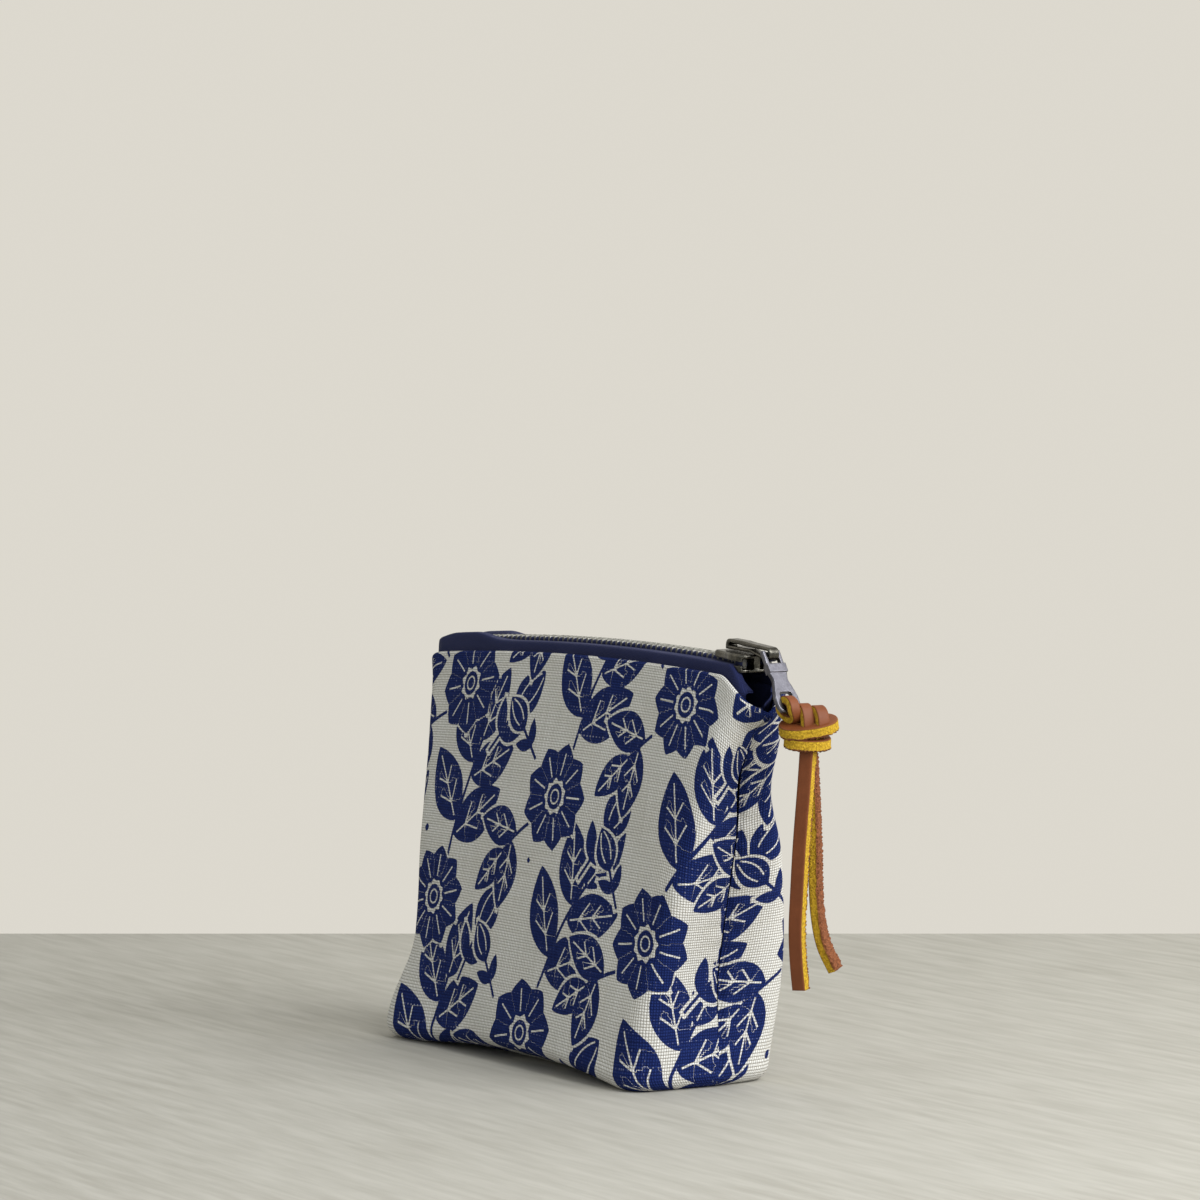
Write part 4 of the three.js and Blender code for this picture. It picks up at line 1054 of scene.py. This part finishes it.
def tape_mesh(name, side):
    """The tape's band and its corded edge, as two grids in one mesh. The band is a smooth profile at every
    x, half the tape's thickness out to both sides, and the cord is a circle carried along the ridge."""
    shares = np.array([1, 0.985, 0.965, 1 - tape_tuck / chain_height])
    top = section(np.array([1.0]), side)[0]
    flat = section(shares, side)
    z = shares[:, None] * mix(chain_height, edge_height(top[:, 0], side)[None], shares[:, None])
    rows = np.concatenate([flat, z[..., None]], -1)
    rows = rows - outward(rows, side) * (cloth + tape_gap + tape / 2)
    x = np.linspace(tape_from, tape_to, tape_steps)
    middle = slice(side_steps, -side_steps)
    tucked = [np.stack([np.abs(np.interp(x, row[middle, 0], row[middle, 1]) - zip_y),
                        np.interp(x, row[middle, 0], row[middle, 2])], -1) for row in rows]
    height, out_y = tape_height(x), tucked[0][:, 0]
    at_bead = np.minimum(height, ridge(x))
    past_row = np.where(x > zip_x, x - zip_x - chain_right, zip_x - x + chain_left)
    ends = smooth(2 * stop_length, 4 * stop_length, past_row)
    beside = mix(tooth_back - bead_radius + 0.5 + parting(x), tape_end_inset, ends)
    bead_y = np.minimum(beside, out_y - tape_edge_bend - layer_gap)
    bend = np.minimum(tape_edge_bend, (out_y - bead_y) * 0.6)
    flat_end = out_y - bend
    pair = lambda a, b: np.stack([a, b], -1)
    control = np.stack([pair(bead_y, at_bead), pair(mix(bead_y, flat_end, 0.5), height),
                        pair(flat_end, height), pair(flat_end + bend * 0.75, height - bend * 0.35),
                        *tucked])
    last = len(control) - 1
    line = spline(control, np.linspace(0, last, 5 * last + 1))
    tangent = unit(np.gradient(line, axis=0))
    out = np.stack([-tangent[..., 1], tangent[..., 0]], -1)
    above, below, run = line + out * tape / 2, line - out * tape / 2, arc(line, 0)
    loop = np.concatenate([above, below[::-1], above[:1]])
    run = np.concatenate([run, run[::-1], run[:1]])
    grid = np.stack([np.broadcast_to(x, loop.shape[:2]), zip_y + side * loop[..., 0], loop[..., 1]], -1)
    uv = np.stack([np.broadcast_to(x, run.shape), run], -1)
    cord_x = np.linspace(cord_from, zip_x + chain_right + 3.2, cord_steps)
    turn = np.linspace(0, 2 * np.pi, cord_round)[:, None]
    centre_y = tooth_back - bead_radius + parting(cord_x)
    cord = np.stack([np.broadcast_to(cord_x, (cord_round, cord_steps)),
                     zip_y + side * (centre_y + bead_radius * np.cos(turn)),
                     ridge(cord_x) + bead_radius * np.sin(turn)], -1)
    cord_uv = np.stack(np.broadcast_arrays(cord_x[None], bead_radius * turn), -1)
    if side < 0:
        grid, uv, cord, cord_uv = (a[::-1] for a in (grid, uv, cord, cord_uv))
    return grid_mesh(name, [(grid[:, ::-1], uv[:, ::-1]), (cord, cord_uv)])


tapes = {}
for name, side in halves:
    mesh = tape_mesh(f"tape_{name}", side)
    tapes[name] = piece(f"tape_{name}", mesh, navy_tape, "pouch", [f"zip_tape_{name}"])

# %% [markdown]
# ## The zip's teeth
# Every tooth is one small casting: two jaws clenched on the cord, a thinner neck, and a head that drops into
# the gap between two teeth of the other row. One tooth is a loft of eight-sided sections, and all of a row
# are placed at once by adding their places along the ridge.

# %% Metal finish
def metal_finish(name, dark, bright, roughness, grime=0.0, brushed=(1, 1, 1), grain=2600, edge=0.0):
    """Metal with fine scratches along one way, cloudy tone and grime as noise. With an edge radius in mm the
    light sees rounded corners, and they are worn bright."""
    finish, tree, shader = new_finish(name, roughness, 1.0)
    place = place_of(tree)
    scratch = speckle(tree, spread_out(tree, place, brushed), grain, 3, 0.6)
    cloud = speckle(tree, place, 420, 2)
    share = calc(tree, "MULTIPLY_ADD", scratch, 0.5, calc(tree, "MULTIPLY", cloud, 0.5))
    colour = tint(tree, ramp(tree, share, 0.3, 0.7), dark, bright)
    spots = ramp(tree, speckle(tree, place, 1100, 3, 0.7), 0.58, 0.7, 0, grime)
    colour = tint(tree, spots, colour, tuple(0.35 * c for c in dark))
    if edge:
        rounded = tree.nodes.new("ShaderNodeBevel")
        rounded.samples = 6
        rounded.inputs["Radius"].default_value = edge * MM
        turned = tree.nodes.new("ShaderNodeVectorMath")
        turned.operation = "DOT_PRODUCT"
        tree.links.new(rounded.outputs[0], turned.inputs[0])
        tree.links.new(tree.nodes.new("ShaderNodeNewGeometry").outputs["Normal"], turned.inputs[1])
        on_edge = ramp(tree, turned.outputs["Value"], 0.99, 0.85)
        worn = calc(tree, "MULTIPLY", on_edge, ramp(tree, cloud, 0.35, 0.6))
        colour = tint(tree, worn, colour, tuple(min(0.8, 2.4 * c) for c in bright))
    tree.links.new(colour, shader.inputs["Base Color"])
    rough = ramp(tree, share, 0.3, 0.7, roughness + 0.12, roughness - 0.08)
    tree.links.new(rough, shader.inputs["Roughness"])
    relief(tree, shader, scratch, 0.02, 0.7)
    if edge:
        bump = shader.inputs["Normal"].links[0].from_node
        tree.links.new(rounded.outputs[0], bump.inputs["Normal"])
    return counted(finish)


teeth_metal = metal_finish("teeth_metal", (0.095, 0.092, 0.080), (0.195, 0.190, 0.168), 0.48, grime=0.45)

# %% Rows of teeth
def tooth_loft():
    """One tooth, head towards +Y: stations along Y with a half thickness (X) and a half height (Z)."""
    y = np.array([-2.72, -2.6, -2.1, -1.2, -0.75, -0.2, 0.45, 0.75, 0.86])
    thick = np.array([0.30, 0.45, 0.475, 0.46, 0.38, 0.40, 0.43, 0.36, 0.22])
    high = np.array([0.70, 0.93, 1.02, 1.19, 1.12, 0.92, 0.80, 0.62, 0.40])
    corners = np.array([[1, 0.6], [0.62, 1], [-0.62, 1], [-1, 0.6],
                        [-1, -0.6], [-0.62, -1], [0.62, -1], [1, -0.6], [1, 0.6]])
    points = np.stack(np.broadcast_arrays(thick[:, None] * corners[:, 0], y[:, None],
                                          high[:, None] * corners[:, 1]), -1)
    ends = [np.broadcast_to(points[k].mean(0), (1, len(corners), 3)) for k in (0, -1)]
    return np.concatenate([ends[0], points, ends[1]])


def teeth_mesh(name, side):
    """The loft turned to the ridge's slope and repeated along it."""
    first = zip_x + chain_left + (0 if side < 0 else tooth_pitch / 2)
    x = np.arange(first, zip_x + chain_right + 1e-6, tooth_pitch)
    one = tooth_loft() * [1, -side, 1]
    slope = np.arcsin((x - ridge_top_x) / ridge_radius)[:, None, None]
    px = x[:, None, None] + one[None, ..., 0] * np.cos(slope) + one[None, ..., 2] * np.sin(slope)
    py = zip_y + side * parting(x)[:, None, None] + one[None, ..., 1]
    pz = ridge(x)[:, None, None] - one[None, ..., 0] * np.sin(slope) + one[None, ..., 2] * np.cos(slope)
    grids = np.stack([px, py, pz], -1)
    if side > 0:
        grids = grids[:, ::-1]
    blank = np.zeros(grids.shape[1:3] + (2,))
    print(name, "teeth:", len(grids))
    return grid_mesh(name, [(grid, blank) for grid in grids])


teeth = {}
for name, side in halves:
    mesh = teeth_mesh(f"teeth_{name}", side)
    teeth[name] = piece(f"teeth_{name}", mesh, teeth_metal, "pouch", [f"zip_teeth_{name}"],
                        sharp=50)

# %% [markdown]
# ## Own meshes for the tapes and the rows
# When the slider runs back, the two rows come apart and the tapes fold against the linen. The frame can't
# bend cloth by itself, and here each tape and each row of teeth only gets a mesh of its own.

# %% Own meshes of the rows and tapes
for name, side in halves:
    for soft in (tapes[name], teeth[name]):
        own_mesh(soft)

# %% [markdown]
# ## Metal parts that keep their solids
# The slider, its cap, the pull and the stops have the right shape already, so they keep their solids and get
# finishes: dark antique metal worn bright, satin nickel, and the same dull silver as the teeth.

# %% Metal on the solids
dark_metal = metal_finish("dark_metal", (0.040, 0.038, 0.032), (0.125, 0.118, 0.100), 0.25,
                          grime=0.3, edge=0.45)
satin_metal = metal_finish("satin_metal", (0.085, 0.083, 0.097), (0.175, 0.171, 0.192), 0.32,
                           grime=0.15, brushed=(1, 1, 0.12), edge=0.3)
for node, finish, slot_name in (
        ("slider_body", dark_metal, "slider_metal"),
        ("slider_cap", dark_metal, "slider_metal"),
        ("pull_tab", satin_metal, "pull_metal"),
        ("zip_bottom_stop", teeth_metal, "teeth_metal"),
        ("zip_top_stop_front", teeth_metal, "teeth_metal"),
        ("zip_top_stop_back", teeth_metal, "teeth_metal")):
    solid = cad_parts[node]
    for place in solid.material_slots:
        place.material = finish

# %% [markdown]
# ## Floor, backdrop and light
# The stage is a plain pale floor with a pale wall behind it. The wall lets everything through from its back,
# so the pouch can be seen from any side. The light is soft: a wide lamp from the right and behind, as the
# pouch's end is brighter than its face in the photograph, a small weak lamp nearer to the camera for the
# glints on the metal, and an even sky.

# %% Stage
def stage_plane(name, corners, finish):
    """A flat four-cornered piece of the stage."""
    mesh = bpy.data.meshes.new(name)
    mesh.from_pydata(corners, [], [(0, 1, 2, 3)])
    obj = bpy.data.objects.new(name, mesh)
    mesh.materials.append(finish)
    bpy.context.scene.collection.objects.link(obj)
    print(name, "finish:", finish.name)


def floor_finish():
    """Pale board with faint long streaks."""
    finish, tree, shader = new_finish("floor", 0.75)
    place = place_of(tree)
    streak = speckle(tree, spread_out(tree, place, (26, 240, 1)), 1.0, 4, 0.6)
    cloud = speckle(tree, place, 9.0, 2)
    colour = tint(tree, ramp(tree, streak, 0.35, 0.65), (0.345, 0.329, 0.286), (0.430, 0.416, 0.370))
    colour = tint(tree, ramp(tree, cloud, 0.3, 0.7, 0, 0.35), colour, (0.46, 0.445, 0.40))
    tree.links.new(colour, shader.inputs["Base Color"])
    return finish


def wall_finish():
    """Pale wall that camera and gloss rays see at one level, and that is clear from its back."""
    finish = bpy.data.materials.new("wall")
    finish.use_nodes = True
    tree = finish.node_tree
    tree.nodes.clear()
    make = tree.nodes.new
    diffuse, glow, clear = (make("ShaderNodeBsdfDiffuse"), make("ShaderNodeEmission"),
                            make("ShaderNodeBsdfTransparent"))
    shown, front = make("ShaderNodeMixShader"), make("ShaderNodeMixShader")
    out = make("ShaderNodeOutputMaterial")
    colour = (0.72, 0.69, 0.62, 1)
    diffuse.inputs["Color"].default_value = colour
    glow.inputs["Color"].default_value = colour
    ray, side = make("ShaderNodeLightPath"), make("ShaderNodeNewGeometry")
    seen = calc(tree, "MAXIMUM", ray.outputs["Is Camera Ray"], ray.outputs["Is Glossy Ray"])
    tree.links.new(seen, shown.inputs[0])
    tree.links.new(diffuse.outputs[0], shown.inputs[1])
    tree.links.new(glow.outputs[0], shown.inputs[2])
    tree.links.new(side.outputs["Backfacing"], front.inputs[0])
    tree.links.new(shown.outputs[0], front.inputs[1])
    tree.links.new(clear.outputs[0], front.inputs[2])
    tree.links.new(front.outputs[0], out.inputs[0])
    return finish


floor_half, wall_half, wall_high, wall_away = 4, 3.0, 2.5, 0.265      # metres, as for the lamps below
stage_plane("floor", [(-floor_half, -floor_half, 0), (floor_half, -floor_half, 0),
                      (floor_half, floor_half, 0), (-floor_half, floor_half, 0)], floor_finish())
away = Vector((-math.sin(camera_turn), math.cos(camera_turn), 0))
along_wall = Vector((math.cos(camera_turn), math.sin(camera_turn), 0))
foot = away * wall_away
stage_plane("wall", [foot - along_wall * wall_half, foot + along_wall * wall_half,
                     foot + along_wall * wall_half + Vector((0, 0, wall_high)),
                     foot - along_wall * wall_half + Vector((0, 0, wall_high))], wall_finish())

# %% Light
def soft_lamp(name, place, aim, size, power, colour=(1, 1, 1)):
    """Square area lamp at a place, turned to look at another."""
    data = bpy.data.lights.new(name, "AREA")
    data.shape = "SQUARE"
    data.size = size
    data.energy = power
    data.color = colour
    lamp = bpy.data.objects.new(name, data)
    lamp.location = place
    lamp.rotation_euler = (Vector(aim) - Vector(place)).to_track_quat("-Z", "Y").to_euler()
    bpy.context.scene.collection.objects.link(lamp)
    print(name, "lamp watts:", power)


soft_lamp("key", (0.90, 0.26, 0.72), (0, 0, 0.05), size=0.85, power=17.0, colour=(0.985, 0.99, 1))
soft_lamp("side", (0.46, -0.24, 0.30), (0.06, 0, 0.05), size=0.35, power=0.22)
world = bpy.data.worlds.new("sky")
world.use_nodes = True
world.node_tree.nodes["Background"].inputs[0].default_value = (0.93, 0.98, 1.0, 1)
world.node_tree.nodes["Background"].inputs[1].default_value = 0.57
bpy.context.scene.world = world
bpy.context.scene.view_settings.view_transform = "Standard"
